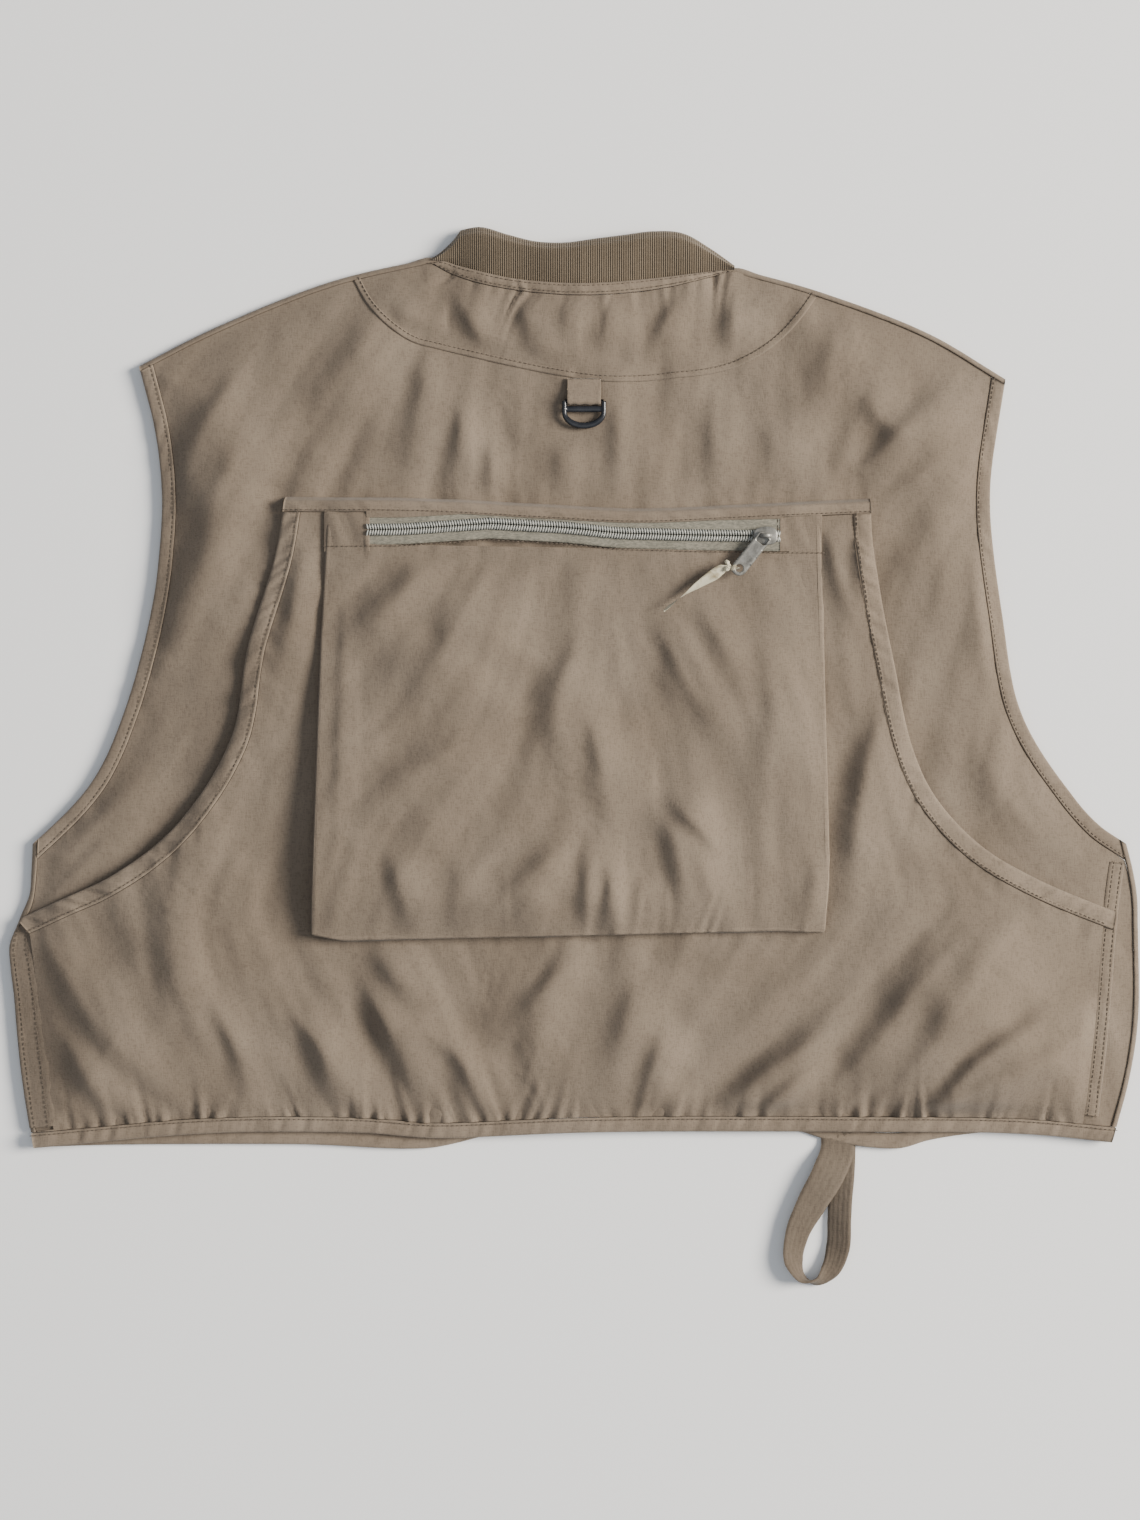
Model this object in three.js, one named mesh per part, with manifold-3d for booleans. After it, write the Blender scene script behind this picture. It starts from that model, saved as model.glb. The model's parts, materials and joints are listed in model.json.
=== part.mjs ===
// A short fishing vest, laid flat on its front: +Z up out of its back, +Y to the collar, millimetres.
// Each cloth layer is a flat slab of the vest's outline, cut by the bindings and seams around it.
import * as THREE from 'three';
import { mergeVertices } from 'three/addons/utils/BufferGeometryUtils.js';
import Module from 'manifold-3d';

const wasm = await Module();
wasm.setup();

// ---- driving dimensions ----------------------------------------------------------------------

const GAP = 0.3;
const CLOTH = 1.2;
const OUTLINE_STEP = 15;
const BAND_STEP = 17;

// Larger than the vest, for the solids that only cut others.
const TALL = 80;
const FAR = 400;

// Heights of the layers, from the floor up.
const FLAP_BOTTOM = 0;
const POCKET_FACE_TOP = 2.7;
const POCKET_LIP_BOTTOM = FLAP_BOTTOM + CLOTH + GAP;
const GUSSET_BOTTOM = POCKET_FACE_TOP + GAP;
const FRONT_BOTTOM = 8.0;
const FRONT_TOP = FRONT_BOTTOM + CLOTH;
const COLLAR_FRONT_TOP = 9.6;
const BACK_BOTTOM = 14.6;
const BACK_TOP = BACK_BOTTOM + CLOTH;
const CARGO_BOTTOM = 21.0;
const CARGO_TOP = CARGO_BOTTOM + CLOTH;
const BINDING_PROUD = 0.3;

// Widths of the bindings and seams.
const ARMHOLE_BAND = 8;
const SEAM_BAR = 2.5;
const HEM_BAND = 8.6;
const CARGO_TOP_BAND = 8.6;
const CARGO_SIDE_BAND = 10;
const SIDE_STRIP = 7.5;
const COLLAR_FRONT_WIDTH = 26;

// How far each cutting band reaches outside the edge it follows, and past its two ends.
const SEAM_REACH = 6;
const CARGO_REACH = 8;
const STRIP_REACH_LEFT = 10;
const BAND_REACH = 12;
const WIDE_REACH = 14;
const ZONE_END = 6;
const GROWN_ZONE_END = 8;
const YOKE_SEAM_END = 20;

// The bellows pocket on the back: shallow at the zip, deepest at the bottom.
const POCKET_SHALLOW = 25.6;
const POCKET_DEEP = 34.8;
const POCKET_MOUTH_Y = 117;
const POCKET_FLOOR_Y = -102.5;
const WEDGE_TOP_Y = 160;
const WEDGE_BOTTOM_Y = -130;
const WEDGE_HALF_WIDTH = 200;
const ZIP_WINDOW_REACH = 40;

// The pocket's zip runs between these two ends.
const ZIP_LEFT = new THREE.Vector2(-116.4, 128.3);
const ZIP_RIGHT = new THREE.Vector2(115.8, 124.0);
const CHAIN_HALF_GAP = 0.7;
const COIL_WIDTH = 2.4;
const COIL_HEIGHT = 1.8;
const TAPE_HALF_WIDTH = 8.3;
const TAPE_THICKNESS = 0.8;
const ZIP_TAPE_BOTTOM = 24.4;
const ZIP_END_LENGTH = 5;

const SLIDER_LENGTH = 13.6;
const SLIDER_WIDTH = 10.6;
const SLIDER_END_GAP = 1.6;
const SLIDER_PLATE = 1.4;
const SLIDER_POST = 0.8;
const SLIDER_POST_BACK = 3;
const SLIDER_POST_FRONT = 0.5;
const SLIDER_POST_OVERLAP = 1;
const BAIL_SPAN = 7;
const BAIL_WIRE = 1.2;
const BAIL_RISE = 3.7;
const PULL_LENGTH = 28.6;
const PULL_WIDTH = 8.6;
const PULL_THICKNESS = 1.2;
const PULL_HOLE_RADIUS = 2.1;
const PULL_BAR = 1.5;
const PULL_EYE_END = 5;
const PULL_EYE_HALF_WIDTH = 3.1;
const PULL_CURVE_STEPS = 6;
const RIBBON_THICKNESS = 1.0;
const PULL_HEADING = THREE.MathUtils.degToRad(231);

const FRONT_ZIP_TOP_Y = 184;
const FRONT_ZIP_BOTTOM_Y = -196;
const FRONT_ZIP_HALF = 14;
const ZIP_BOX_HALF_WIDTH = 5;
const ZIP_BOX_LENGTH = 7;
const ZIP_BOX_BOTTOM = 5.2;

// The four pockets on the front, right-hand side; the left-hand ones mirror them.
const FRONT_POCKETS = {
    chest: { inner: 46, outer: 158, bottom: 22, top: 134 },
    lower: { inner: 34, outer: 222, bottom: -196, top: -78 },
};
const FLAP_DROP = 42;
const FLAP_LAP = 20;
const FLAP_PAST_SIDE = 2;
const FLAP_PAST_MOUTH = 2;
const FLAP_HINGE_FLAT = 1;
const POCKET_WALL = 2.0;

// The D-ring and its tab.
const RING_X = 5.6;
const RING_AXIS_Y = 200.6;
const RING_AXIS_Z = 18.5;
const RING_HALF_WIDTH = 12.6;
const RING_WIRE = 2.7;
const RING_THICKNESS = 2.4;
const RING_BAR_RADIUS = 1.1;
const RING_BAR_OVERLAP = 1;
const RING_SLOT_BOTTOM = 2.6;
const RING_CROSS_BAR_BOTTOM = 6.2;
const RING_SHOULDER = 6.5;
const RING_BOW = { side: 12.5, middle: 15.3, share: 0.55 };
const RING_INNER_BOW = { side: 10, middle: 11.6, share: 0.55 };
const RING_CURVE_STEPS = 8;
const TAB_WIDTH = 19;
const TAB_TOP_Y = 213;
const TAB_NOSE = 2.1;
const TAB_NOSE_STEPS = 10;
const TAB_BORE = 1.45;
const TAB_BORE_STEPS = 15;

// The strap loop hangs from the hem's hinge line and slopes down to the floor.
const ROD_LOOP_THICKNESS = 2.4;
const ROD_LOOP_REACH = 80;
const ROD_LOOP_TOP_Y = -221.5;
const ROD_LOOP_HINGE_Y = -222.3;
const ROD_LOOP_HINGE_Z = 8.6;
const ROD_LOOP_OUTER_STEP = 9;
const ROD_LOOP_HOLE_STEP = 8;

const CLOTH_COLOUR = 0x9b8c78;
const BINDING_COLOUR = 0xa19380;
const KNIT_COLOUR = 0x7e6f5d;
const TAPE_COLOUR = 0xa79f8b;
const COIL_COLOUR = 0xb4b2a4;
const METAL_COLOUR = 0x8b8982;
const RING_COLOUR = 0x151515;
const RIBBON_COLOUR = 0xd6cfb4;

// ---- outlines of the vest, each a smooth line through a few points ------------------------------

const SHOULDER_LEFT = [[-246.9, 221.5], [-205.7, 242.4], [-137.9, 269.5], [-80.2, 283.1]];
const SHOULDER_RIGHT = [[91, 277.4], [139, 263.9], [201.1, 240.1], [244.9, 214.1]];
const NECK_UPPER = [[-80.2, 283.1], [-63.6, 278], [-35.9, 271.2], [5, 268], [53.3, 272.1], [91, 277.4]];
const NECK_LOWER = [[-86, 283], [-65.5, 272.1], [-43.8, 266.1], [4, 261.2], [53.3, 266.1], [97, 278]];
const COLLAR_TOP = [
    [-80.2, 284], [-62.7, 300.6], [-53, 299], [-15, 290], [14.7, 292.7], [57, 296.8], [71.2, 291],
    [90, 278.4],
];
const FRONT_NECK_LEFT = [[-80.2, 283.1], [-68, 245], [-42, 210], [-12, 190]];
const FRONT_NECK_RIGHT = [[12, 190], [46, 210], [76, 242], [91, 277.4]];
const YOKE_SEAM = [
    [-125.1, 272.1], [-115.3, 255.4], [-95, 237.5], [-67.8, 229.5], [-4.1, 215.6], [23.6, 212.6],
    [53.3, 214.7], [83.1, 218.7], [104, 227.6], [122.6, 242.4], [138.6, 263.6],
];
const ARMHOLE_LEFT = [
    [-306.9, -49], [-284.5, -27.5], [-269.6, -7.6], [-252.8, 33.3], [-239, 88.1], [-235, 121.5],
    [-233.9, 148], [-237.6, 183.9], [-246.9, 221.5],
];
const ARMHOLE_RIGHT = [
    [244.9, 214.1], [236.9, 161.3], [236.2, 142.7], [237.6, 121.5], [243, 81.4], [251.1, 33.3],
    [261.6, 9], [279.7, -17.5], [296.4, -37.3], [313, -49],
];
const SIDE_LEFT = [
    [-306.5, -221.9], [-313, -179.7], [-317, -137.3], [-319.2, -103.4], [-309.6, -81.9], [-306.9, -49],
];
const SIDE_RIGHT = [
    [313, -49], [318.7, -74], [319.8, -100.6], [319.8, -149.7], [314.7, -183.1], [305.1, -218.7],
];
const BACK_HEM = [
    [305.1, -218.7], [254.8, -213.9], [160, -212.7], [6.6, -213], [-80.8, -216.2], [-118, -213.4],
    [-204.5, -213.4], [-306.5, -221.9],
];
const FRONT_HEM = [
    [305.1, -218.7], [254.8, -212.5], [205, -217], [185, -222.2], [150, -219], [120, -211], [10, -207],
    [-49, -215], [-80.8, -222], [-155.7, -220], [-268, -220.5], [-306.5, -221.9],
];
const CARGO_TOP_EDGE = [
    [-163, 146.9], [-79.7, 145.8], [-14.7, 142.4], [35, 140.1], [93.2, 142.4], [167, 146],
];
const CARGO_LEFT_EDGE = [
    [-319, -93.6], [-286.2, -78.8], [-261.3, -67.2], [-224.9, -39], [-193.4, 10.7], [-184.3, 61.2],
    [-168.4, 114.7], [-163, 146.9],
];
const CARGO_RIGHT_EDGE = [
    [167, 146], [168.9, 114.7], [181.6, 48], [188.7, 12.4], [201.7, -19.2], [228.3, -49],
    [261.6, -68.9], [319, -92.5],
];
const CARGO_FOOT = [[297, -219], [0, -219], [-303, -222]];
const CARGO_SIDE_LEFT = [[-303, -222], [-313.5, -150], [-319, -93.6]];
const CARGO_SIDE_RIGHT = [[319, -92.5], [306.8, -92.5], [302.3, -158.2], [297, -219]];
const STRIP_LINE_RIGHT = [[312.2, -60.5], [307.9, -92.1], [302.3, -158.2], [297, -203.6]];
const STRIP_LINE_LEFT = [[-303.6, -204], [-309.6, -150], [-316, -102]];
const ABOVE_YOKE = [[160, 330], [-150, 330]];
const POCKET_OUTLINE = [
    [-137.9, 135.2], [-141.8, 66], [-146.9, -99.4], [-128.8, -102.5], [107.4, -97.2], [140.5, -98],
    [142.9, -58], [139.8, 70], [137.9, 135.2],
];
// The same outline, one wall's thickness inside.
const POCKET_INNER = [
    [-135.9, 134], [-139.8, 66], [-144.8, -97.6], [-128.8, -100.5], [107.4, -95.2], [138.6, -96],
    [140.9, -58], [137.8, 70], [135.9, 134],
];
const ROD_LOOP_OUTER = [
    [140, -216], [125.4, -252], [117.5, -280], [131.1, -301.6], [147.2, -293.1], [156.5, -272.3],
    [157.5, -240], [159, -216],
];
const ROD_LOOP_HOLE = [[143, -252], [134, -266], [132.2, -281], [136, -292], [142, -281], [144.4, -263.2]];

// The ribbon along the pull tab: a wide knotted end beside the tab's hole and one tapering tail.
const RIBBON_OUTLINE = [
    [24.8, -4.9], [28.5, -3.4], [34, -5.2], [53, -11.6], [69, -16.8], [68.4, -18.8], [53, -15.6],
    [33, -11.2], [27.5, -9.8], [24, -7],
];

// ---- geometry helpers ----------------------------------------------------------------------------

const vector = ([x, y]) => new THREE.Vector2(x, y);

// Points along a smooth line, about one step apart.
function smooth(points, step = OUTLINE_STEP) {
    const curve = new THREE.CatmullRomCurve3(
        points.map(([x, y]) => new THREE.Vector3(x, y, 0)), false, 'centripetal',
    );
    const count = Math.max(2, Math.round(curve.getLength() / step));
    return curve.getSpacedPoints(count).map((p) => new THREE.Vector2(p.x, p.y));
}

// The line moved sideways: a positive distance is to the left of its direction.
function offset(line, distance) {
    return line.map((point, i) => {
        const before = line[Math.max(i - 1, 0)];
        const after = line[Math.min(i + 1, line.length - 1)];
        const along = after.clone().sub(before).normalize();
        return new THREE.Vector2(point.x - along.y * distance, point.y + along.x * distance);
    });
}

// The line with both ends carried on straight.
function lengthen(line, extra) {
    const first = line[0].clone().sub(line[1]).setLength(extra).add(line[0]);
    const last = line.at(-1).clone().sub(line.at(-2)).setLength(extra).add(line.at(-1));
    return [first, ...line, last];
}

// A flat plate of an outline between two heights.
function slab(outline, bottom, top, holes = []) {
    const shape = new THREE.Shape(outline);
    shape.holes = holes.map((hole) => new THREE.Path(hole));
    const plate = new THREE.ExtrudeGeometry(shape, { depth: top - bottom, bevelEnabled: false });
    return plate.translate(0, 0, bottom);
}

// A band along a line, from one sideways distance to another.
function band(points, from, to, bottom, top, extra = 0) {
    let line = smooth(points, BAND_STEP);
    if (extra > 0) {
        line = lengthen(line, extra);
    }
    return slab([...offset(line, from), ...offset(line, to).reverse()], bottom, top);
}

// A profile in Y and Z, carried along X.
function along(profile, left, right, holes = []) {
    const bar = slab(profile.map(vector), left, right, holes);
    const turn = new THREE.Matrix4().set(0, 0, 1, 0, 1, 0, 0, 0, 0, 1, 0, 0, 0, 0, 0, 1);
    return bar.applyMatrix4(turn);
}

function box(x0, x1, y0, y1, z0, z1) {
    const solid = new THREE.BoxGeometry(x1 - x0, y1 - y0, z1 - z0);
    return solid.translate((x0 + x1) / 2, (y0 + y1) / 2, (z0 + z1) / 2);
}

function toManifold(geometry) {
    const bare = geometry.clone();
    bare.deleteAttribute('normal');
    bare.deleteAttribute('uv');
    const merged = mergeVertices(bare, 1e-4);
    return new wasm.Manifold(new wasm.Mesh({
        numProp: 3,
        vertProperties: new Float32Array(merged.attributes.position.array),
        triVerts: new Uint32Array(merged.index.array),
    }));
}

function toGeometry(solid) {
    const mesh = solid.getMesh();
    const geometry = new THREE.BufferGeometry();
    geometry.setAttribute('position', new THREE.BufferAttribute(new Float32Array(mesh.vertProperties), 3));
    geometry.setIndex(new THREE.BufferAttribute(new Uint32Array(mesh.triVerts), 1));
    geometry.computeVertexNormals();
    return geometry;
}

const combine = (method) => (first, ...others) => toGeometry(
    others.reduce((solid, other) => solid[method](toManifold(other)), toManifold(first)),
);
const cut = combine('subtract');
const common = combine('intersect');
const join = combine('add');

// ---- materials -----------------------------------------------------------------------------------

const material = (color, roughness, metalness = 0) => () => (
    new THREE.MeshStandardMaterial({ color, roughness, metalness })
);
const cloth = material(CLOTH_COLOUR, 0.92);
const binding = material(BINDING_COLOUR, 0.92);
const knit = material(KNIT_COLOUR, 0.95);
const tape = material(TAPE_COLOUR, 0.85);
const coil = material(COIL_COLOUR, 0.45);
const metal = material(METAL_COLOUR, 0.38, 0.9);
const plastic = material(RING_COLOUR, 0.22);
const ribbon = material(RIBBON_COLOUR, 0.55);

const vest = new THREE.Group();

function add(name, geometry, finish) {
    const mesh = new THREE.Mesh(geometry, finish());
    mesh.name = name;
    vest.add(mesh);
    return mesh;
}

// ---- the seams and bindings that cut the layers --------------------------------------------------

// Each zone is a band that reaches past the outline; a grown zone leaves the gap beside it.
const zones = {
    shoulderLeft: [SHOULDER_LEFT, SEAM_REACH, -SEAM_BAR],
    shoulderRight: [SHOULDER_RIGHT, SEAM_REACH, -SEAM_BAR],
    armholeLeft: [ARMHOLE_LEFT, BAND_REACH, -ARMHOLE_BAND],
    armholeRight: [ARMHOLE_RIGHT, BAND_REACH, -ARMHOLE_BAND],
    sideLeft: [SIDE_LEFT, SEAM_REACH, -SEAM_BAR],
    sideRight: [SIDE_RIGHT, SEAM_REACH, -SEAM_BAR],
    backHem: [BACK_HEM, BAND_REACH, -HEM_BAND],
    frontHem: [FRONT_HEM, BAND_REACH, -HEM_BAND],
    neck: [NECK_LOWER, WIDE_REACH, 0],
    cargoTop: [CARGO_TOP_EDGE, CARGO_REACH, -CARGO_TOP_BAND],
    cargoLeft: [CARGO_LEFT_EDGE, CARGO_REACH, -CARGO_SIDE_BAND],
    cargoRight: [CARGO_RIGHT_EDGE, CARGO_REACH, -CARGO_SIDE_BAND],
    stripRight: [STRIP_LINE_RIGHT, WIDE_REACH, -SIDE_STRIP],
    stripLeft: [STRIP_LINE_LEFT, STRIP_REACH_LEFT, -SIDE_STRIP],
};

function zone(name, bottom = -TALL, top = TALL) {
    const [points, outside, inside] = zones[name];
    return band(points, outside, inside, bottom, top, ZONE_END);
}

function grown(name) {
    const [points, outside, inside] = zones[name];
    return band(points, outside, inside - GAP, -TALL, TALL, GROWN_ZONE_END);
}

// ---- back layer ----------------------------------------------------------------------------------

const backOutline = [
    SHOULDER_LEFT, NECK_UPPER, SHOULDER_RIGHT, ARMHOLE_RIGHT, SIDE_RIGHT, BACK_HEM, SIDE_LEFT, ARMHOLE_LEFT,
].flatMap((line) => smooth(line).slice(0, -1));
const backSheet = (bottom = BACK_BOTTOM, top = BACK_TOP) => slab(backOutline, bottom, top);

function aboveYokeSeam(gap) {
    const seam = offset(lengthen(smooth(YOKE_SEAM, BAND_STEP), YOKE_SEAM_END), -gap);
    return slab([...seam, ...ABOVE_YOKE.map(vector)], -TALL, TALL);
}

add('back_panel', cut(
    backSheet(), aboveYokeSeam(GAP), grown('shoulderLeft'), grown('shoulderRight'), grown('armholeLeft'),
    grown('armholeRight'), grown('sideLeft'), grown('sideRight'), grown('backHem'),
), cloth);
add('back_yoke', cut(
    common(backSheet(), aboveYokeSeam(0)), grown('shoulderLeft'), grown('shoulderRight'), grown('neck'),
), cloth);
add('neck_binding', cut(
    common(backSheet(BACK_BOTTOM - GAP, BACK_TOP + BINDING_PROUD), zone('neck')),
    grown('shoulderLeft'), grown('shoulderRight'),
), binding);

const collarFoot = offset(smooth(NECK_UPPER, BAND_STEP), GAP);
add('collar_back', slab(
    [...collarFoot, ...smooth(COLLAR_TOP, BAND_STEP).reverse()], BACK_BOTTOM, BACK_TOP + BINDING_PROUD,
), knit);

const armholeEnds = (side) => [`shoulder${side}`, `side${side}`];
const backBand = (side) => cut(
    common(backSheet(BACK_BOTTOM - GAP, BACK_TOP + BINDING_PROUD), zone(`armhole${side}`)),
    ...armholeEnds(side).map(grown),
);
add('armhole_band_back_left', backBand('Left'), binding);
add('armhole_band_back_right', backBand('Right'), binding);

const hemBottom = BACK_BOTTOM - BINDING_PROUD;
const hemTop = CARGO_TOP + BINDING_PROUD;
add('hem_binding_back', common(backSheet(hemBottom, hemTop), zone('backHem')), binding);

// ---- front layer ---------------------------------------------------------------------------------

const frontOutline = [
    SHOULDER_LEFT, FRONT_NECK_LEFT, FRONT_NECK_RIGHT, SHOULDER_RIGHT, ARMHOLE_RIGHT, SIDE_RIGHT, FRONT_HEM,
    SIDE_LEFT, ARMHOLE_LEFT,
].flatMap((line) => smooth(line).slice(0, line === FRONT_NECK_LEFT ? undefined : -1));
const frontSheet = (bottom = FRONT_BOTTOM, top = FRONT_TOP) => slab(frontOutline, bottom, top);
const centreZone = box(-FRONT_ZIP_HALF - GAP, FRONT_ZIP_HALF + GAP, -FAR, FAR, -TALL, TALL);
const halves = {
    Left: box(-FAR, -GAP, -FAR, FAR, -TALL, TALL),
    Right: box(GAP, FAR, -FAR, FAR, -TALL, TALL),
};

for (const side of ['Left', 'Right']) {
    const suffix = side.toLowerCase();
    const neck = side === 'Left' ? FRONT_NECK_LEFT : FRONT_NECK_RIGHT;

    add(`front_panel_${suffix}`, cut(
        common(frontSheet(), halves[side]), centreZone, grown(`shoulder${side}`),
        grown(`armhole${side}`), grown(`side${side}`), grown('frontHem'),
    ), cloth);
    add(`armhole_band_front_${suffix}`, cut(
        common(frontSheet(FRONT_BOTTOM - GAP, FRONT_TOP + BINDING_PROUD), zone(`armhole${side}`)),
        ...armholeEnds(side).map(grown),
    ), binding);
    const hemSheet = frontSheet(FRONT_BOTTOM - BINDING_PROUD, FRONT_TOP + BINDING_PROUD);
    add(`hem_binding_front_${suffix}`, cut(
        common(hemSheet, zone('frontHem'), halves[side]), centreZone,
    ), binding);
    add(`collar_front_${suffix}`, cut(
        common(band(neck, 3 * GAP, COLLAR_FRONT_WIDTH, FRONT_BOTTOM, COLLAR_FRONT_TOP), halves[side]),
        grown(`shoulder${side}`),
    ), knit);
    add(`shoulder_seam_${suffix}`, common(
        backSheet(FRONT_BOTTOM, BACK_TOP), zone(`shoulder${side}`),
    ), binding);
    add(`side_seam_${suffix}`, cut(
        common(backSheet(FRONT_BOTTOM, BACK_TOP), zone(`side${side}`)), grown('backHem'), grown('frontHem'),
    ), binding);
}

// ---- cargo panel over the back, open along its two curved sides ----------------------------------

const cargoOutline = [
    CARGO_TOP_EDGE, CARGO_RIGHT_EDGE, CARGO_SIDE_RIGHT, CARGO_FOOT, CARGO_SIDE_LEFT, CARGO_LEFT_EDGE,
].flatMap((line) => smooth(line).slice(0, -1));
const cargoSheet = (bottom = CARGO_BOTTOM, top = CARGO_TOP) => slab(cargoOutline, bottom, top);
const stripTop = CARGO_TOP + BINDING_PROUD;

add('cargo_panel', cut(
    cargoSheet(), grown('cargoTop'), grown('cargoLeft'), grown('cargoRight'), grown('stripLeft'),
    grown('stripRight'), grown('backHem'),
), cloth);
add('cargo_binding_top', common(
    cargoSheet(BACK_TOP + GAP, CARGO_TOP + BINDING_PROUD), zone('cargoTop'),
), binding);
for (const side of ['Left', 'Right']) {
    add(`cargo_binding_${side.toLowerCase()}`, cut(
        common(cargoSheet(CARGO_BOTTOM - BINDING_PROUD, CARGO_TOP + BINDING_PROUD), zone(`cargo${side}`)),
        grown('cargoTop'), grown(`strip${side}`),
    ), binding);
}
add('side_strip_left', cut(
    common(backSheet(BACK_TOP + GAP, stripTop), zone('stripLeft')), grown('backHem'),
), binding);
add('side_strip_right', cut(
    band(STRIP_LINE_RIGHT, 0, -SIDE_STRIP, BACK_TOP + GAP, stripTop), grown('backHem'),
), binding);

// ---- bellows pocket on the cargo panel -----------------------------------------------------------

const pocketSlope = (POCKET_DEEP - POCKET_SHALLOW) / (POCKET_MOUTH_Y - POCKET_FLOOR_Y);
const pocketHeight = (y) => POCKET_SHALLOW + (POCKET_MOUTH_Y - y) * pocketSlope;

function pocketWedge(lower, upper) {
    return along([
        [WEDGE_BOTTOM_Y, lower(WEDGE_BOTTOM_Y)], [WEDGE_TOP_Y, lower(WEDGE_TOP_Y)],
        [WEDGE_TOP_Y, upper(WEDGE_TOP_Y)], [WEDGE_BOTTOM_Y, upper(WEDGE_BOTTOM_Y)],
    ], -WEDGE_HALF_WIDTH, WEDGE_HALF_WIDTH);
}

// The zip's own length and sideways directions, used to place all its pieces.
const zipAlong = ZIP_RIGHT.clone().sub(ZIP_LEFT).normalize();
const zipAcross = new THREE.Vector2(-zipAlong.y, zipAlong.x);
const zipPoint = (point, across) => point.clone().addScaledVector(zipAcross, across);

function zipBar(from, to, bottom, top, extra = 0) {
    const left = ZIP_LEFT.clone().addScaledVector(zipAlong, -extra);
    const right = ZIP_RIGHT.clone().addScaledVector(zipAlong, extra);
    const corners = [zipPoint(left, from), zipPoint(right, from), zipPoint(right, to), zipPoint(left, to)];
    return slab(corners, bottom, top);
}

const zipWindow = (bottom) => zipBar(
    -TAPE_HALF_WIDTH - GAP, ZIP_WINDOW_REACH, bottom, TALL, ZIP_END_LENGTH + GAP,
);
add('cargo_pocket_face', cut(
    common(
        slab(POCKET_OUTLINE.map(vector), 0, TALL),
        pocketWedge(pocketHeight, (y) => pocketHeight(y) + CLOTH),
    ),
    zipWindow(-TALL),
), cloth);

add('cargo_pocket_gusset', cut(
    common(
        slab(POCKET_OUTLINE.map(vector), CARGO_TOP + GAP, TALL, [POCKET_INNER.map(vector)]),
        pocketWedge(() => 0, (y) => pocketHeight(y) - GAP),
    ),
    zipWindow(ZIP_TAPE_BOTTOM - GAP),
), cloth);

const tapeTop = ZIP_TAPE_BOTTOM + TAPE_THICKNESS;
const coilBottom = tapeTop + GAP;
const coilTop = coilBottom + COIL_HEIGHT;
const coilOuter = CHAIN_HALF_GAP + COIL_WIDTH;
add('pocket_tape_upper', zipBar(CHAIN_HALF_GAP, TAPE_HALF_WIDTH, ZIP_TAPE_BOTTOM, tapeTop), tape);
add('pocket_tape_lower', zipBar(-TAPE_HALF_WIDTH, -CHAIN_HALF_GAP, ZIP_TAPE_BOTTOM, tapeTop), tape);
add('pocket_coil_upper', zipBar(CHAIN_HALF_GAP, coilOuter, coilBottom, coilTop), coil);
add('pocket_coil_lower', zipBar(-coilOuter, -CHAIN_HALF_GAP, coilBottom, coilTop), coil);

function zipEnd(end, direction) {
    const near = end.clone().addScaledVector(zipAlong, direction * GAP);
    const far = end.clone().addScaledVector(zipAlong, direction * ZIP_END_LENGTH);
    const corners = [
        zipPoint(near, -TAPE_HALF_WIDTH), zipPoint(far, -TAPE_HALF_WIDTH),
        zipPoint(far, TAPE_HALF_WIDTH), zipPoint(near, TAPE_HALF_WIDTH),
    ];
    return slab(corners, ZIP_TAPE_BOTTOM, coilTop);
}
add('pocket_zip_end_left', zipEnd(ZIP_LEFT, -1), cloth);
add('pocket_zip_end_right', zipEnd(ZIP_RIGHT, 1), cloth);

// ---- slider and pull tab, built round the bail's foot with the zip along X ------------------------

// Two plates joined by a post between the coils, and a bail over the upper plate.
function sliderBody() {
    const half = SLIDER_LENGTH / 2;
    const width = SLIDER_WIDTH / 2;
    const post = SLIDER_POST / 2;
    const topPlate = coilTop + GAP;
    const lowerPlateTop = ZIP_TAPE_BOTTOM - GAP;
    const bailFoot = topPlate + SLIDER_PLATE - GAP;
    const bailTop = bailFoot + GAP + BAIL_RISE;
    const reach = BAIL_SPAN / 2;
    const wire = BAIL_WIRE / 2;
    return join(
        box(-half, half, -width, width, topPlate, topPlate + SLIDER_PLATE),
        box(-half, half, -width, width, lowerPlateTop - SLIDER_PLATE, lowerPlateTop),
        box(
            half - SLIDER_POST_BACK, half - SLIDER_POST_FRONT, -post, post,
            ZIP_TAPE_BOTTOM - SLIDER_POST_OVERLAP, topPlate + SLIDER_POST_OVERLAP,
        ),
        box(-reach, -reach + BAIL_WIRE, -wire, wire, bailFoot, bailTop),
        box(reach - BAIL_WIRE, reach, -wire, wire, bailFoot, bailTop),
        box(-reach, reach, -wire, wire, bailTop - BAIL_WIRE, bailTop),
    );
}

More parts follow.
